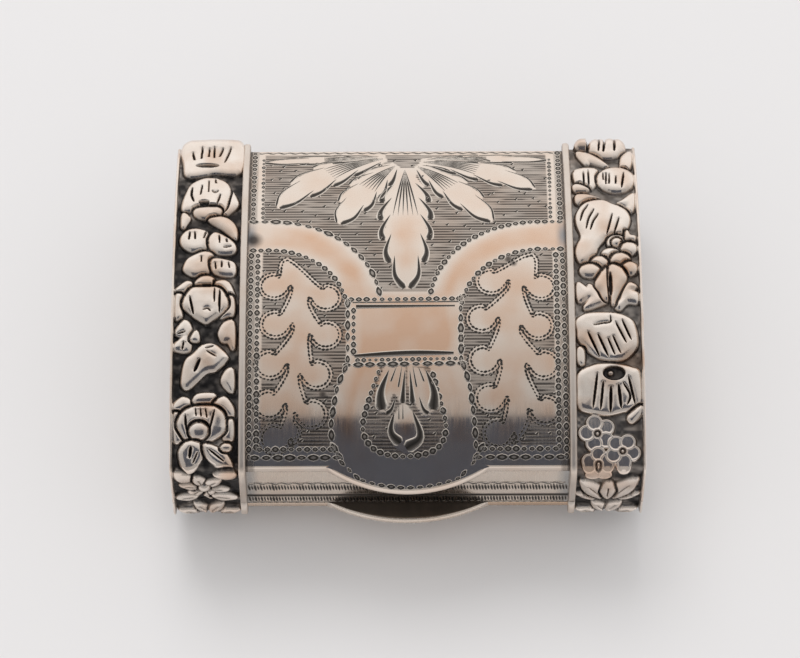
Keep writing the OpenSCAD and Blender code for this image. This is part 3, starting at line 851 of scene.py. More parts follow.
# Lid hinge
# Five silver tubes on a drawn wire pin along the back, turn and turn about on base and lid, each soldered to
# its wall by a small tab.

coat(burnished_silver, "base_knuckles", "lid_knuckles", "hinge_pin")

# Lid cover
# The domed panel of the lid: sheet silver, engraved all over with a spray of leaves, two arched bands, a
# plain panel in the middle and a plume of round lobes at each side, on a ground of close hatching.

LID_EDGE_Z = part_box("lid_band")[0].z / MM
LID_WALL = 3.6


def on_lid(x, v, h):
    return fold(x, v, h, LID_WALL, LID_EDGE_Z, 1)


def quarter(side, centre_x, centre_v, rx, rv):
    """The curved edge of an arched band: level from the panel's side, then round and down to the middle."""
    turn = np.radians(np.linspace(90, 10, 25))
    curve = [(side * (centre_x - rx * math.cos(a)), centre_v - rv * math.sin(a)) for a in turn]
    return [(side * 9.4, centre_v - rv)] + curve


def beside(points, gap):
    """The line moved sideways by gap, to its right."""
    p = np.array(points, float)
    run = np.gradient(p, axis=0)
    run /= np.maximum(np.hypot(run[:, :1], run[:, 1:]), 1e-6)
    return p + np.reshape(gap, (-1, 1)) * np.column_stack([run[:, 1], -run[:, 0]])


arch_out_left, arch_in_left = quarter(-1, 8.4, 1.5, 6.8, 6.35), quarter(-1, 8.4, 2.0, 4.8, 4.6)
arch_out_right, arch_in_right = quarter(1, 8.2, 1.5, 6.85, 6.3), quarter(1, 8.3, 2.0, 5.05, 4.65)
loop_left = smooth_path([(-3.75, 5.5), (-4.2, 6.6), (-4.45, 7.9), (-4.6, 9.1), (-4.5, 10.3)])
loop_right = smooth_path([(3.4, 5.3), (3.75, 6.6), (4.0, 8.6), (4.1, 10.2)])
loop_in = smooth_path([(-1.75, 5.7), (-2.25, 7.2), (-2.7, 9.2), (-1.95, 10.5), (-0.15, 10.9), (1.65, 10.5),
                       (2.3, 9.3), (2.0, 7.5), (1.55, 5.9)])

LOBE_R = 0.7
# One lobe, in lobe radii: from the cusp above it round its edge to the ear below it and on down the stem
LOBE = ((-0.6, -0.85), (0, -1), (0.71, -0.71), (1, 0), (0.71, 0.71), (0, 1), (-0.75, 0.75), (-1.5, -0.2),
        (-1.65, 0.8))


def lobed_side(middles, out):
    """One side of a plume from its tip down, past the middles of its lobes, which point this way out."""
    return [(x + out * a * LOBE_R, v + b * LOBE_R) for x, v in middles for a, b in LOBE]


def plume(tip, inner, foot, outer):
    """A plume's outline: round lobes hang from both sides of a stem, each by a neck."""
    out = np.sign(tip[0])
    return smooth_path([tip] + lobed_side(inner, -out) + foot + lobed_side(outer, out)[::-1] + [tip], 4)


plume_left = plume((-7.3, -1.8), [(-4.9, 0.8), (-4.9, 3.3), (-5.45, 5.85), (-5.75, 8.3)],
                   [(-6.6, 9.3), (-7.0, 10.1)],
                   [(-8.1, 0.0), (-8.0, 2.6), (-8.3, 5.2), (-8.35, 7.7), (-8.0, 9.8)])
plume_right = plume((7.6, -2.1), [(5.1, -0.3), (4.5, 2.25), (4.6, 4.95), (4.95, 7.35), (5.4, 9.5)],
                    [(6.2, 10.1), (6.8, 9.4)], [(8.15, 0.1), (7.95, 2.75), (8.25, 5.25), (8.3, 8.1)])

# Each leaf of the spray: root, bend and tip of its midrib, half width, and lobes to a side
spray = [
    ((0.85, -10.3), (4.5, -10.2), (7.95, -7.6), 1.05, 4),
    ((1.2, -10.6), (5.0, -10.7), (8.85, -10.45), 0.42, 3), ((0.6, -9.9), (2.6, -8.4), (5.3, -4.8), 1.1, 4),
    ((-1.25, -10.7), (-5.0, -9.9), (-8.0, -6.0), 1.15, 4),
    ((-1.6, -10.75), (-5.0, -10.6), (-8.95, -10.25), 0.42, 3),
    ((-0.6, -10.0), (-2.5, -8.2), (-4.2, -4.65), 1.15, 4),
    ((-0.1, -9.7), (-0.1, -6.0), (0.0, 0.25), 1.55, 6)]


def midrib(leaf, t):
    """The point of a leaf's midrib at t, and the direction across it."""
    root, bend, tip = (np.array(p) for p in leaf[:3])
    point = root * (1 - t) ** 2 + bend * 2 * t * (1 - t) + tip * t ** 2
    run = (bend - root) * (1 - t) + (tip - bend) * t
    return point, np.array([run[1], -run[0]]) / np.hypot(*run)


def leaf_width(leaf, t):
    """Half the leaf's width at t, without its notches: it swells to past its middle."""
    return leaf[3] * math.sin(math.pi * min(0.06 + 0.94 * t ** 1.2, 1)) ** 0.6


def leaf_edge(leaf):
    """The leaf's outline, up one side and down the other; each lobe ends in a notch."""
    sides = [[], []]
    for t in np.linspace(0, 1, 61):
        point, across = midrib(leaf, t)
        lobe = (t * (leaf[4] + 0.6) + 0.4) % 1.0
        for k, s in enumerate((1, -1)):
            sides[k].append(point + s * leaf_width(leaf, t) * (0.78 + 0.27 * lobe ** 1.4) * across)
    return np.array(sides[0] + sides[1][::-1])


leaves = [leaf_edge(leaf) for leaf in spray]
# The two leaves and the bud that hang under the plain panel
hanging = [smooth_path(p, 4) for p in (
    [(-1.4, 5.35), (-1.85, 6.65), (-1.85, 8.0), (-1.3, 8.2), (-0.8, 7.05), (-0.4, 7.65), (-0.1, 5.35)],
    [(0.0, 5.35), (0.1, 6.85), (0.9, 8.45), (1.6, 8.1), (1.65, 6.95), (1.0, 5.5)],
    [(-0.4, 7.65), (-1.1, 9.0), (-0.9, 10.15), (-0.1, 10.7), (0.7, 10.25), (0.9, 9.1), (-0.1, 7.65)])]
# The hatched fields: behind the spray, round each plume and within the loop
hatched = [
    np.concatenate([[(-8.75, -11.05), (-8.75, -4.9)], arch_out_left[1:], arch_out_right[:0:-1],
                    [(8.7, -4.9), (8.7, -11.05)]]),
    np.concatenate([[(-8.8, -2.6)], arch_in_left[1:], [(-3.75, 5.2)], loop_left, [(-8.8, 10.2)]]),
    np.concatenate([[(8.9, -2.65)], arch_in_right[1:], [(3.4, 5.1)], loop_right, [(8.9, 10.2)]]),
    np.concatenate([loop_in, [(1.3, 5.35), (-1.7, 5.35)]])]


def hatch_ground(x, v):
    """True where the ground is hatched: within a hatched field and off every leaf and plume."""
    ground = np.zeros(np.shape(x), bool)
    for outline in hatched:
        ground |= inside(outline, x, v)
    for outline in leaves + hanging + [plume_left, plume_right]:
        ground &= ~inside(outline, x, v)
    for outline in (plume_left, plume_right):
        near = ground & (np.abs(x - outline[:, 0].mean()) < 3.0)
        ground[near] = from_line(outline, x[near], v[near])[0] > 0.24
    return ground


def bud_rise(x, v):
    """The hanging bud is left a little full between its two cuts."""
    return 0.05 * np.clip(1 - ((x + 0.1) / 0.95) ** 2 - ((v - 9.2) / 1.45) ** 2, 0, 1)


def over_bud(x, v, h):
    """On the lid, raised with the bud."""
    return on_lid(x, v, h + bud_rise(x, v))


HATCH = 0.206  # the real lines are some 0.12 mm apart: drawn coarser so that they show
ARCH_V = -3.7  # where the ends of the two arched bands meet the wires
cover_v = np.linspace(-COVER_LOW, COVER_LOW, int(2 * COVER_LOW / (HATCH / 4)) + 1)
cover_x = np.concatenate([[-HALF_W, -12, -10.2], np.linspace(-9.85, 9.85, 198), [10.2, 12, HALF_W]])
cx, cv = np.meshgrid(cover_x, cover_v)
ground = hatch_ground(cx, cv)
line_no = np.floor(cv / HATCH)
breaks = wobble(cx + 5.1 * line_no, line_no, 1.1, 51) + 0.5 * wobble(cx, cv, 2.0, 52)
line_depth = np.clip(0.8 + 0.8 * breaks, 0.15, 1.0) * ground
groove = 0.5 - 0.5 * np.cos(2 * np.pi * cv / HATCH)
cover_h = 0.0035 * wobble(cx, cv, 3.2, 53) + 0.0012 * wobble(cx, cv, 1.1, 54)
cover_h = cover_h - 0.012 * groove * line_depth + bud_rise(cx, cv)
cover_dark = 0.66 * groove * line_depth + 0.36 * ground
# Painted shadow of the border wires on the panel, with some sulphide in the corner: darker towards each wire
cover_dark += 0.8 * np.clip((np.abs(cx) - 9.6) / 0.12, 0, 1)
off_bands = (np.abs(cv - ARCH_V) > 1.3) * (np.abs(cx) < 9.7)
cover_dark += 0.5 * np.clip((np.abs(cx) - 9.15) / 0.15, 0, 1) * off_bands
# Old spots of sulphide: x, v and radius
for spot_x, spot_v, r in ((-5.1, 7.1, 0.3), (-4.9, 7.3, 0.22), (6.2, -1.9, 0.32), (6.5, -1.6, 0.2),
                          (-9.4, -3.4, 0.5)):
    cover_dark = np.maximum(cover_dark, 0.85 * np.clip(1.4 - np.hypot(cx - spot_x, cv - spot_v) / r, 0, 1))
plain = blurred((~ground).astype(float), 10)
cover_peach = np.clip((plain - 0.62) / 0.38, 0, 1) * np.clip((cv + 7.5) / 6, 0.1, 1)
cover_peach *= np.clip(10.2 - cv, 0, 1)
cover_peach *= np.where(np.abs(cv - ARCH_V) < 1.2, 1, np.clip((9.0 - np.abs(cx)) / 0.3, 0, 1))
for outline in (plume_left, plume_right):
    cover_peach *= 1 - 0.45 * inside(outline, cx, cv)
cover_peach *= np.clip(0.85 + 0.35 * wobble(cx, cv, 1.3, 57), 0, 1.1)
cover_tone = 0.75 * np.clip((np.abs(cx) - 9.1) / 0.4, 0, 1) * np.exp(-(cv - ARCH_V) ** 2)

# Engraved sheet: pale where the cuts keep fingers off, peach where the plain places are handled.
engraved_silver = sterling("sterling_silver_engraved_sheet", "#E8DACD", "#DDB89D", "#2A2524",
                           rough=0.11, cloud_mm=2.6, scratch=0.08)
cover = pressed("lid_cover_engraved", cover_x, cover_v, cover_h, sheet_under(cover_v), on_lid,
                (engraved_silver, fire_gilt), tarnish=np.clip(cover_dark, 0, 0.95),
                burnish=0.9 * cover_peach, toning=cover_tone)
set_in("lid_cover_engraved", cover, "lid", "silver", "lid_cover")

# Lid walls
# The lid's band of sheet silver, soldered under the cover: burnished outside, gilt inside, closing over the
# bezel down to the seam.

LID_WALL_T = 0.4
wall_band("lid_wall_band", LID_EDGE_Z, 1, LID_WALL, LID_WALL_T, "lid", "lid_band")

# Lid engraving
# The marks on the cover and the lid's front: chains of punched beads and lozenges along every band, double
# rows of dots round the plumes, tapered graver cuts that shape the leaves, and milled strokes above the seam.

LID_REACH = BEND_END + BEND_Z + LID_WALL
LOZENGE = {"pitch": 0.66, "long": 0.33, "wide": 0.17, "slant": 0}
PEARL = {"pitch": 0.4, "long": 0.2, "wide": 0.18, "slant": 0}
DOT = {"pitch": 0.36, "long": 0.14, "wide": 0.12, "slant": 0}
DASH = {"pitch": 0.24, "long": 0.11, "wide": 0.065, "slant": 0.2}

lid_chains = [
    {"path": arch_out_left, **LOZENGE}, {"path": arch_in_left, **RING},
    {"path": arch_out_right, **RING}, {"path": arch_in_right, **RING},
    row(LOZENGE, (-3.6, 1.2), (-3.6, 4.9)), row(RING, (-3.25, 1.7), (-3.25, 4.4)),
    row(LOZENGE, (3.25, 0.9), (3.25, 4.9)), row(RING, (-3.4, 0.95), (3.2, 0.9)),
    row(LOZENGE, (-3.65, 5.25), (3.3, 5.15)), row(DOT, (-3.0, 4.95), (2.9, 4.85)),
    {"path": loop_left, **LOZENGE}, {"path": loop_right, **LOZENGE}, {"path": loop_in, **RING}]
for q in (-1, 1):
    lid_chains += [
        row(PEARL, (q * 9.45, -11.2), (q * 9.45, -5.1)), row(DOT, (q * 8.9, -10.5), (q * 8.85, -5.2)),
        row(RING, (q * 9.5, -2.2), (q * 9.55, 10.9)), row(PEARL, (q * 9.1, -2.2), (q * 9.1, 10.3)),
        row(LOZENGE, (q * 4.4, 10.4), (q * 4.1, 10.9)), row(RING, (q * 8.9, 10.45), (q * 4.6, 10.45)),
        row(LOZENGE, (q * 9.2, 10.95), (q * 4.25, 10.95))]
lid_dots = [milled(-PANEL, PANEL, LID_REACH - 0.98, 0.34, 0.14)]
for gap in (0.06, 0.27):
    lid_dots += [{"path": beside(plume_left, gap), **DASH}, {"path": beside(plume_right, -gap), **DASH}]
engrave("lid_punched_beads", lid_chains, CHAIN_KEYS, chain_tree, {**marks, "Seed": 9}, on_lid, "lid")
engrave("lid_punched_dots", lid_dots, CHAIN_KEYS, chain_tree, dots, on_lid, "lid")


def comma(wide, *points):
    """A cut that starts blunt and tapers to nothing."""
    line = smooth_path(points, 5)
    t = np.linspace(0, 1, len(line))
    return {"path": line, "width": 0.6 * wide * np.minimum(1, 0.55 + 6 * t) * (1 - t) ** 0.75 + 0.004}


lid_cuts = []
for leaf in spray:
    # A crescent along each lobe, bold on the leaf's lower side, and flutes that spread from its root
    gap = 1 / (leaf[4] + 0.6)
    for k in range(leaf[4] // 3, leaf[4] + 1):
        for s in (-1, 1):
            ends = []
            for back, out in ((0.0, 0.99), (0.5, 0.98), (1.3, 0.6)):
                point, across = midrib(leaf, (k + 0.55 - back) * gap)
                ends.append(point + s * out * leaf_width(leaf, (k + 0.55 - back) * gap) * across)
            bold = 0.33 if s * across[1] > -0.1 else 0.14
            lid_cuts.append(comma(bold * (0.4 + 0.5 * leaf[3]), *ends))
    for out in (-0.5, -0.3, -0.1, 0.1, 0.3, 0.5):
        line = [midrib(leaf, t) for t in np.linspace(0.03, 0.5, 9)]
        path = [point + out * leaf[3] * k / 8 * across for k, (point, across) in enumerate(line)]
        lid_cuts.append({"path": path, "width": 0.06 * np.sin(np.linspace(0.25, math.pi - 0.05, 9)) ** 0.8})
# The hanging leaves and the bud
for s in (-1, 1):
    lid_cuts += [
        comma(0.58, (1.55 * s, 8.05), (1.6 * s, 6.95), (1.1 * s, 5.55)),
        comma(0.3, (0.3 * s, 7.65), (0.25 * s, 6.85), (0.15 * s, 5.6)),
        comma(0.26, (1.25 * s, 8.3), (0.95 * s, 8.0), (0.7 * s, 7.25)),
        comma(0.1, (1.0 * s, 6.3), (0.8 * s, 5.75), (0.65 * s, 5.35)),
        comma(0.1, (0.55 * s, 6.65), (0.42 * s, 5.9), (0.33 * s, 5.35)),
        comma(0.07, (0.12 * s - 0.4, 8.65), (0.12 * s - 0.4, 7.7))]
lid_cuts += [comma(0.6, (-0.1, 10.4), (0.75, 9.7), (0.3, 8.1)),
             comma(0.5, (-0.45, 10.1), (-1.0, 9.4), (-0.8, 8.2))]
# Short ticks scattered over the hatching
tick = np.random.default_rng(15)
for x in np.arange(-8.6, 8.7, 0.95):
    for v in np.arange(-10.2, 10.2, 0.9):
        tx, tv, a = x + tick.uniform(-0.4, 0.4), v + tick.uniform(-0.4, 0.4), tick.uniform(0.5, 1.0)
        if hatch_ground(np.array(tx), np.array(tv)):
            path = [(tx + r * math.cos(a), tv - r * math.sin(a)) for r in (0.0, 0.11, 0.22)]
            lid_cuts.append({"path": path, "width": np.array([0.085, 0.07, 0.01])})
# A wriggled line along the back, the lines of the plain panel, and a wriggled line above the seam
lid_cuts += [
    wriggled(-9.2, 9.3, -11.25, 0.7, 0.06, 0.06),
    {"path": smooth_path([(-3.3, 1.15), (3.15, 1.1)], 12), "width": 0.04},
    {"path": smooth_path([(-3.1, 1.42), (2.9, 1.38)], 12), "width": np.linspace(0.12, 0.05, 25)},
    {"path": smooth_path([(-3.2, 4.68), (0, 4.5), (2.8, 4.5)], 12),
     "width": 0.03 + 0.13 * np.sin(np.linspace(0.3, 2.9, 25)) ** 0.6},
    wriggled(-PANEL, PANEL, LID_REACH - 1.55, 0.75, 0.06, 0.09)]
engrave("lid_graver_cuts", lid_cuts, ("width",), cut_tree, cuts, over_bud, "lid")
for tool in (punched_dot, graver_section):
    bpy.data.objects.remove(tool)

# Lid borders
# Two cast strips across the ends of the lid, bent over its edges down to the seam: on the left a basket,
# buds, three roses and a pear; on the right fruits, berries, a split leaf, shells and three flowers.

left_motifs = sprig(-13.2, -1)
# Basket
left_motifs += [
    form((-1.8, -11.4), (-1.7, -9.8), (-1.5, -8.65), (-0.5, -8.75), (0.2, -8.95), (1.75, -9), (1.8, -11.6),
         (0, -12.3)),
    slit(0.09, (-1.25, -10.7), (-1.1, -9.9)), slit(0.08, (-0.65, -11.1), (-0.7, -10)),
    slit(0.07, (-0.2, -11), (-0.25, -10.2)), slit(0.07, (0.1, -11.1), (0.1, -10.1)),
    slit(0.08, (0.65, -11), (0.4, -10.2)), slit(0.08, (1.15, -11.1), (0.75, -9.65)),
    sunk(-0.3, -9.4, 0.75, 0.22, 0.1)]
# First rose, with the curled leaf under it
left_motifs += [
    form((1.15, -7.3), (1.55, -6.5), (1.6, -5.9), (0.95, -5.2), (0.75, -5.5), (1, -6.5)),
    form((-1.1, -7.85), (-0.25, -8.3), (0.7, -8.05), (1.1, -7.4), (1, -6.4), (0.8, -5.6), (0.1, -5.2),
         (-0.9, -5.6), (-1.6, -5.55), (-1.65, -6.2), (-1.4, -7.2)),
    slit(0.1, (-1.15, -7.4), (-1.2, -6.8), (-1, -6.1)), slit(0.07, (-0.55, -7.6), (-0.65, -6.7)),
    slit(0.07, (-0.15, -8), (-0.15, -6.9)), slit(0.06, (0.25, -8.2), (0.3, -7.7)),
    slit(0.06, (0.05, -7.1), (0.25, -6.95), (0.5, -7.1)), slit(0.08, (0.6, -6.8), (0.4, -6)),
    sunk(-0.4, -6.1, 0.35, 0.2, 0.05),
    form((-0.95, -5.4), (-0.7, -5.7), (0.4, -5.75), (0.6, -5.4), (0.1, -4.95), (-0.65, -5)),
    form((0, -4.75), (0.7, -4.95), (1.3, -4.6), (1.6, -4), (1.6, -3.3), (1.3, -3.6), (0.8, -4.1)),
    form((-1.65, -5.2), (-1.3, -4.9), (-1.45, -4.5), (-1.65, -4.2))]
# Four buds
left_motifs += [
    oval(-0.85, -3.2, 0.85, 0.8), slit(0.08, (-1.2, -3.75), (-1.25, -3.1)),
    slit(0.08, (-0.9, -3.75), (-0.85, -3.1)), slit(0.07, (-0.2, -3.85), (-0.35, -3.2)),
    form((0.1, -3.4), (0.35, -3.7), (0.9, -3.4), (1.5, -2.85), (1.5, -2.3), (0.85, -2.2), (0.3, -2.4),
         (0.05, -2.9)),
    slit(0.07, (0.6, -3.5), (0.65, -2.85)), slit(0.07, (1.05, -3.25), (1.1, -2.9)),
    slit(0.06, (0.85, -2.55), (1.4, -2.65)),
    form((-1.45, -1), (-1.3, -1.65), (-0.95, -1.95), (-0.35, -2.25), (0.15, -2.1), (0.15, -1.6),
         (0, -0.95), (-0.35, -0.7), (-0.95, -0.65)),
    slit(0.07, (-0.45, -1.95), (-0.45, -1.45)),
    form((0.2, -1.6), (0.5, -1.75), (1.2, -1.6), (1.55, -1.35), (1.5, -0.65), (0.65, -0.7), (0.3, -1)),
    slit(0.06, (0.4, -1.5), (0.45, -0.95)), slit(0.06, (0.8, -1.55), (0.8, -1.05)),
    slit(0.06, (1.2, -1.5), (1.3, -1))]
# Second rose: sepals, a leaf at each side and the cup
left_motifs += [
    form((-1.95, 0.5), (-1.35, -0.1), (-0.95, 0), (-1, 0.2), (-1.4, 0.5)),
    form((-0.7, 0), (-0.4, -0.45), (0.1, -0.45), (0.35, -0.2), (0.2, 0.1)),
    form((0.5, 0), (0.9, -0.2), (1.25, 0), (1.5, 0.6), (1.45, 0.9), (1.1, 0.8)),
    form((-1.9, 0.85), (-1.55, 0.9), (-1.7, 1.6), (-1.6, 2.2), (-1.9, 2.25)),
    form((1.15, 0.95), (1.5, 1), (1.5, 2.1), (0.7, 2.2), (1, 1.6)),
    form((-1.45, 1.4), (-1.05, 0.45), (-0.55, 0.3), (0.35, 0.3), (0.75, 0.45), (1.05, 0.95), (1.1, 1.6),
         (0.1, 2.5), (-0.3, 2.5), (-0.9, 2.05), high=0.4),
    slit(0.1, (-1.1, 0.9), (-0.85, 2.1)), slit(0.07, (0.4, 0.3), (0.4, 1.35)),
    slit(0.1, (0.72, 0.45), (0.72, 2)), slit(0.06, (-0.3, 1.85), (0, 1.72), (0.2, 1.95))]
# Leaves, and the pear with its hollow
left_motifs += [
    form((-1.35, 2.5), (-1.75, 2.95), (-1.85, 3.35), (-1.4, 3.5), (-1.95, 4.05), (-1.95, 4.35),
         (-1.3, 4.45), (-1.05, 4.25), (-1, 3)),
    slit(0.07, (-1.85, 3.35), (-1.3, 3.2)), slit(0.07, (-1.4, 3.85), (-1.5, 4.4)),
    form((1, 2.7), (1.55, 2.6), (1.6, 4.25), (1.3, 3.85), (0.95, 3.8), (0.75, 3.3)),
    form((-0.95, 3.7), (-0.65, 3.2), (-0.55, 3.75)),
    form((-0.75, 4.65), (-0.35, 4.2), (0.15, 4.05), (0.6, 4.2), (1.15, 4.75), (1.15, 5), (0.55, 5.6),
         (0, 5.75), (-0.5, 6.2), (-1.1, 6.75), (-1.4, 6.65), (-1.45, 6.2), (-1.25, 5.1), high=0.4),
    slit(0.14, (-0.4, 4.95), (-0.75, 5.8)), slit(0.06, (-0.1, 4.3), (0.4, 4.15)),
    slit(0.06, (-0.05, 4.45), (0.6, 4.85)), form((0.95, 6.4), (1.15, 5.75), (1.55, 5.65), (1.55, 6.95))]
# Third rose, with leaves under it
left_motifs += [
    form((-1.95, 7.8), (-1.5, 7.4), (-1.15, 7.45), (-0.9, 7.8), (-1.5, 8.15), (-1.95, 8.1)),
    form((-0.65, 7.65), (-0.55, 7.2), (0.4, 7.15), (0.45, 7.6)),
    form((0.5, 7.8), (1.05, 7.35), (1.55, 7.95), (1.55, 8.5), (1, 8.3)),
    form((-1.9, 8.4), (-1.65, 8.5), (-1.75, 9.2), (-1.5, 9.9), (-1.9, 9.9)),
    form((1.3, 8.9), (1.55, 8.8), (1.55, 9.85), (1.05, 9.75)),
    form((-1.7, 8.9), (-1.3, 8.2), (-0.6, 7.95), (0.4, 7.95), (0.95, 8.3), (1.05, 8.9), (1, 9.4), (0, 10),
         (-1, 9.95), (-1.5, 9.4), high=0.4),
    slit(0.1, (-1.25, 8.35), (-1.2, 9.1), (-1, 9.9)), slit(0.06, (-0.65, 8), (-0.6, 8.5)),
    slit(0.06, (-0.35, 8), (-0.3, 8.55)), slit(0.06, (-0.05, 8), (0.05, 8.6)),
    slit(0.08, (0.5, 8.1), (0.35, 8.7), (0.15, 9.5)), oval(-0.45, 9.35, 0.5, 0.45, 0.42),
    form((-1.6, 10.7), (-1.2, 10.1), (-0.5, 10.1), (-0.2, 10.6), (-0.6, 11.35), (-1.3, 11.6)),
    slit(0.13, (-0.9, 10.25), (-1, 11)), slit(0.06, (-0.5, 10.6), (-0.8, 11.3)),
    form((-0.1, 10.2), (0.5, 10.35), (1.1, 10.7), (1.5, 11.5), (0.8, 11.4), (0.1, 10.9)),
    slit(0.07, (0.1, 10.4), (1.1, 11.2)), oval(1.2, 10.35, 0.25, 0.15),
    form((-1.9, 11.7), (-1.2, 11.9), (-0.9, 12.5), (-1.7, 12.6)),
    form((0.5, 11.8), (1.6, 11.7), (1.6, 12.2), (1, 12.3))]
# Flower on the front
left_motifs += daisy(-0.2, 13.45, 1.45, 0.2)
left_motifs += plain_leaf(0.3, 14.5, 1.7, 14.8, 0.35) + plain_leaf(-0.7, 14.6, -1.9, 14.8, 0.32)

right_motifs = sprig(-13.4, -1)
# Fruits and leaves
right_motifs += [
    form((-1.4, -11.2), (-1.3, -11.9), (-0.8, -12.1), (-0.45, -11.7), (-0.6, -11.2)),
    oval(0.45, -11.2, 1.05, 0.9), slit(0.08, (0, -11.6), (-0.1, -10.7)),
    slit(0.1, (0.35, -11.7), (0.2, -10.6)), slit(0.1, (0.95, -11.6), (0.9, -10.7)),
    form((-1.4, -10.7), (-0.45, -10.4), (0.4, -9.4), (-0.6, -9.8), (-0.9, -9.65)),
    form((1.9, -10.7), (1.4, -10.3), (1.3, -9.25), (1.6, -9.1), (1.9, -9.7)),
    form((-1.6, -8.95), (-0.4, -9.1), (-0.25, -8.3), (-0.55, -7.5), (-0.9, -7.3), (-1.5, -7.7)),
    slit(0.08, (-1.1, -8.7), (-1.1, -7.6)), slit(0.07, (-0.8, -8.9), (-0.8, -7.4)),
    oval(0.9, -8.1, 1.1, 1.05, 0.4), slit(0.06, (0.1, -8.6), (0.1, -7.9)),
    slit(0.07, (0.3, -8.6), (0.25, -7.5)), slit(0.07, (0.5, -8.5), (0.45, -7.5)),
    slit(0.07, (0.9, -8.25), (0.85, -7.5)), slit(0.09, (1.4, -8.6), (1.2, -7.2)),
    form((-1.75, -7.5), (-1.4, -7.6), (-0.9, -7.2), (-1.6, -7.1)),
    form((-1.55, -6.7), (-0.9, -6.7), (-0.2, -6.35), (-0.9, -6.25), (-1.3, -6), (-1.6, -6.2)),
    form((1.95, -6.8), (1.3, -6.3), (0.95, -5.95), (1.5, -5.8), (1.6, -5.3), (1.9, -5.7))]
# First shell, with its tail, the ring flower and the berries
right_motifs += [
    form((-1, -6), (-0.05, -6.2), (0.55, -5.9), (1.15, -5.55), (1.5, -5.05), (1.5, -4.4), (1.1, -3.65),
         (0.2, -3.4), (-0.4, -2.7), (-0.7, -2.05), (-1.1, -1.6), (-1.5, -1.5), (-1.7, -2.1), (-1.6, -2.7),
         (-1.35, -3.4), (-1.6, -4.4), (-1.55, -5.2), high=0.4),
    slit(0.08, (-0.9, -5.8), (-1.25, -5.2), (-1.45, -4.4)),
    slit(0.08, (-0.55, -5.4), (-0.9, -4.7), (-1.1, -3.8)),
    slit(0.08, (-0.3, -5), (-0.65, -4.4), (-0.85, -3.7)), slit(0.08, (0.55, -5), (0.15, -3.4)),
    slit(0.08, (0.95, -4.7), (0.6, -3.5)), oval(0.75, -2.9, 0.5, 0.45), oval(0.75, -2.9, 0.2, 0.2, 0.42),
    form((1.4, -3.7), (1.55, -3.4), (1.85, -3.3), (1.75, -3.05), (1.4, -3.2)), oval(1.5, -2.45, 0.42, 0.4),
    oval(0.35, -2.05, 0.45, 0.35), oval(0.95, -1.65, 0.5, 0.4), oval(-0.35, -1.45, 0.4, 0.35),
    oval(-0.95, -0.85, 0.55, 0.4), oval(1.5, -1, 0.4, 0.4)]
# Split leaf, with a jagged leaf at each side
right_motifs += [
    form((-1.7, 0.05), (-1.15, 0.4), (-1, 0.15), (-0.65, 0.45), (-0.45, 0.9), (0, 1.1), (-0.1, 1.35),
         (-1.3, 1.75), (-1, 1.05), (-1.65, 1.25)),
    form((1, 0.4), (1.45, 0.05), (1.8, 0.3), (1.5, 0.55), (1.9, 0.8), (1.85, 1.35), (1.3, 1.35),
         (0.8, 1.8), (0.55, 1.5), (0.95, 1.1)),
    form((0.15, -1), (-0.45, -0.25), (-0.55, 0.2), (-0.3, 0.6), (-0.1, 1.1), (0.15, 1.1), (0.2, 0.4)),
    form((0.3, -1.1), (0.85, -1.05), (1.2, -0.4), (0.95, 0.2), (0.5, 1.1), (0.4, 1.45), (0.35, 0.4)),
    slit(0.13, (0.28, -0.7), (0.28, 0.9))]
# Second shell
right_motifs += [
    form((-1.8, 2.6), (-1.3, 2.2), (-0.3, 2.1), (0.7, 2.2), (1.5, 2.65), (1.75, 3.85), (1.55, 4.5),
         (0.9, 5), (-0.05, 5), (-0.85, 4.7), (-1.65, 3.85), (-1.75, 3.2), high=0.4),
    slit(0.1, (-1.2, 3.3), (-0.5, 4.9)), slit(0.1, (-0.6, 3.45), (0.05, 4.95)),
    slit(0.08, (0, 3.7), (0.45, 4.85)), slit(0.08, (0.3, 3.55), (0.8, 4.75)),
    slit(0.09, (0.5, 2.7), (1.15, 4.1)), slit(0.09, (0.9, 2.55), (1.45, 3.9)),
    slit(0.07, (-0.9, 2.95), (-0.3, 2.8), (0.2, 2.7), (0.2, 2.3)),
    form((-1.75, 4.4), (-1.5, 4.5), (-1.5, 5.3), (-1.75, 5.2))]
# Third shell, with its round hole
right_motifs += [
    form((-1.75, 6), (-1.15, 5.6), (-0.4, 5.4), (0.6, 5.45), (1.45, 5.65), (1.85, 6), (1.85, 7.95),
         (0.9, 8.2), (0, 8.4), (-0.95, 8.3), (-1.75, 8), (-1.8, 7), high=0.4),
    slit(0.1, (-0.65, 5.9), (-0.95, 8.1)), slit(0.1, (-0.3, 6.4), (-0.5, 8.2)),
    slit(0.12, (0.15, 6.7), (0.1, 8.35)), slit(0.13, (0.6, 6.6), (0.75, 8.1)),
    slit(0.09, (0.85, 6.5), (1.3, 7.3), (1.1, 7.9)), slit(0.1, (1.2, 6.1), (1.6, 7.9)),
    sunk(0.35, 5.95, 0.7, 0.48, 0.03), petal(0.15, 5.9, 0.08, 0.06, 0.2),
    form((1.2, 8.6), (1.9, 8), (1.9, 8.4), (1.4, 8.9))]
# Three flowers
right_motifs += flower(-0.7, 9.6, 1.1, -0.6) + flower(-0.65, 11.4, 1.0, 0.9) + flower(0.8, 10.65, 1.05, 0.2)
# Leaves over the front
for x0, x1, v1, half in ((-0.5, -1.9, 14.3, 0.3), (0.5, 1.9, 14.3, 0.3), (-0.2, -1.6, 12.7, 0.5),
                         (0.2, 1.7, 12.4, 0.55), (0, 0.05, 12.9, 0.35)):
    right_motifs += plain_leaf(x0, 15, x1, v1, half)
for side, end, motifs, grime in ((-1, "left", left_motifs, 0.95), (1, "right", right_motifs, 0.76)):
    cast_border("lid_relief_" + end, "lid_border_" + end, "lid", side, on_lid, LID_REACH,
                step=0.037, motifs=motifs, grime=grime, seed=60 + side)

# Lid wires
# The same drawn wire along the inner edge of each border of the lid.

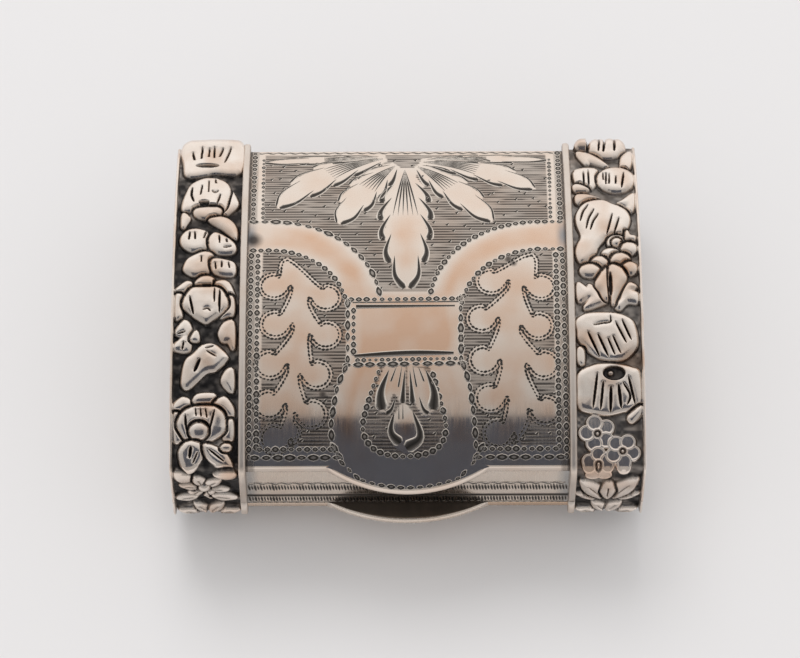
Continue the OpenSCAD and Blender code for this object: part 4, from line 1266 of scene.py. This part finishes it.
for side, end in ((-1, "left"), (1, "right")):
    border_wire("lid_wire_drawn_" + end, "lid_wire_" + end, "lid", side, on_lid, LID_REACH)

# Lid lip
# The lid's own crescent lip, by which the thumb lifts it. It carries the cover's curve forward, is worn
# bright along its edge, and has a row of punched beads there and a short row at each end.

LID_LIP = 1.35


def on_lip(x, out, h):
    """On the lid's lip, `out` past the wall."""
    slope = math.tan(DOME_SLOPE)
    y, z = -HALF_D - out - h * slope, LID_EDGE_Z + LID_WALL + LIP_LIFT - out * slope + h
    return np.stack([x + 0.0 * h, y, z], -1)


LIP_ROW = {"pitch": 0.55, "long": 0.22, "wide": 0.11, "slant": 0}
row_radius = lip_radius(LID_LIP) - 0.22
row_centre = lip_radius(LID_LIP) - LID_LIP
along_edge = [(x, math.sqrt(row_radius ** 2 - x ** 2) - row_centre) for x in np.linspace(-2.7, 3.0, 25)]
lip_rows = [row(LIP_ROW, (-3.95, -0.25), (-3.05, 0.55)), row(LIP_ROW, (3.95, -0.25), (3.35, 0.35)),
            {"path": along_edge, **LIP_ROW}]
engrave("lid_lip_beads", lip_rows, CHAIN_KEYS, chain_tree, marks, on_lip, "lid")
bpy.data.objects.remove(punched_bead)
# Its underside is painted a little darker: painted shade
crescent_lip("lid_thumb_lip", "lid_thumbpiece", "lid", LID_EDGE_Z, 1, LID_WALL,
             far_out=LID_LIP, dark=0.3, metal=engraved_silver)

# Floor, light and camera
# A pale sheet of paper under an even studio dome that is brighter at the back, a soft lamp at the back left,
# and the dark shape of the camera and its stand, which the polished front of the lid mirrors.

FLOOR_HALF = 0.6
floor_mesh = bpy.data.meshes.new("paper_floor")
floor_corners = [(a * FLOOR_HALF, b * FLOOR_HALF, 0) for a, b in ((-1, -1), (1, -1), (1, 1), (-1, 1))]
floor_mesh.from_pydata(floor_corners, [], [(0, 1, 2, 3)])
paper, paper_tree, paper_surface = new_material("matt_paper")
plug(paper_tree, paper_surface, {"Base Color": linear("#DEDCDC"), "Roughness": 0.95})
floor_mesh.materials.append(paper)
floor = put("paper_floor", floor_mesh)

CAMERA_AT = Vector((-0.436, -123.994, 223.325)) * MM
LOOK = Vector((0.0, 0.4939, -0.8695))
PHOTO_ROLL = math.radians(0.2)
CARD_HALF_W, CARD_HALF_H, CARD_FAR = 0.11, 0.092, 0.24
card_mesh = bpy.data.meshes.new("camera_shadow_card")
across, upward = Vector((1, 0, 0)) * CARD_HALF_W, Vector((0, -LOOK.z, LOOK.y)) * CARD_HALF_H
card_at = -LOOK * CARD_FAR
card_corners = [card_at + a * across + b * upward for a, b in ((-1, -1), (1, -1), (1, 1), (-1, 1))]
card_mesh.from_pydata([tuple(c) for c in card_corners], [], [(0, 1, 2, 3)])
black_cloth, cloth_tree, cloth_surface = new_material("black_cloth")
plug(cloth_tree, cloth_surface, {"Base Color": linear("#434B5A")})
card_mesh.materials.append(black_cloth)
card = put("camera_shadow_card", card_mesh)
card.visible_camera = False
card.visible_diffuse = False
card.visible_shadow = False

world = bpy.data.worlds.new("studio_dome")
bpy.context.scene.world = world
world.use_nodes = True
dome = world.node_tree
toward = add(dome, "ShaderNodeSeparateXYZ", {0: add(dome, "ShaderNodeTexCoord").outputs["Generated"]})
glow = add(dome, "ShaderNodeMapRange", {0: toward.outputs[1], 1: -0.2, 2: 0.8, 3: 0.43, 4: 0.98})
rays = add(dome, "ShaderNodeLightPath").outputs
strength = add(dome, "ShaderNodeMix", {0: rays["Is Glossy Ray"], 2: 0.92, 3: glow.outputs[0]})
sky = plug(dome, dome.nodes["Background"], {"Color": linear("#FFFFFF"), "Strength": strength.outputs[0]})
backdrop = add(dome, "ShaderNodeBackground", {"Color": linear("#E6E2E0"), "Strength": 1.0})
either = add(dome, "ShaderNodeMixShader", {
    0: rays["Is Camera Ray"], 1: sky.outputs[0], 2: backdrop.outputs[0]})
plug(dome, dome.nodes["World Output"], {"Surface": either.outputs[0]})


def aimed(direction):
    """The turn that points a lamp or camera this way."""
    return direction.to_track_quat("-Z", "Y").to_matrix().to_4x4()


lamp = bpy.data.lights.new("soft_lamp", "AREA")
lamp.size = 0.3
lamp.energy = 1.0
lamp_object = put("soft_lamp", lamp)
lamp_at = Vector((-0.08, 0.34, 0.46))
lamp_object.matrix_world = Matrix.Translation(lamp_at) @ aimed(-lamp_at)
lamp_object.visible_glossy = False

camera = bpy.data.cameras.new("photo_camera")
camera.lens = 182.25
camera.sensor_width = 36.0
camera.clip_start = 0.01
camera_object = put("photo_camera", camera)
camera_turn = aimed(LOOK) @ Matrix.Rotation(-PHOTO_ROLL, 4, "Z")
camera_object.matrix_world = Matrix.Translation(CAMERA_AT) @ camera_turn
bpy.context.scene.camera = camera_object
bpy.context.scene.view_settings.view_transform = "Standard"
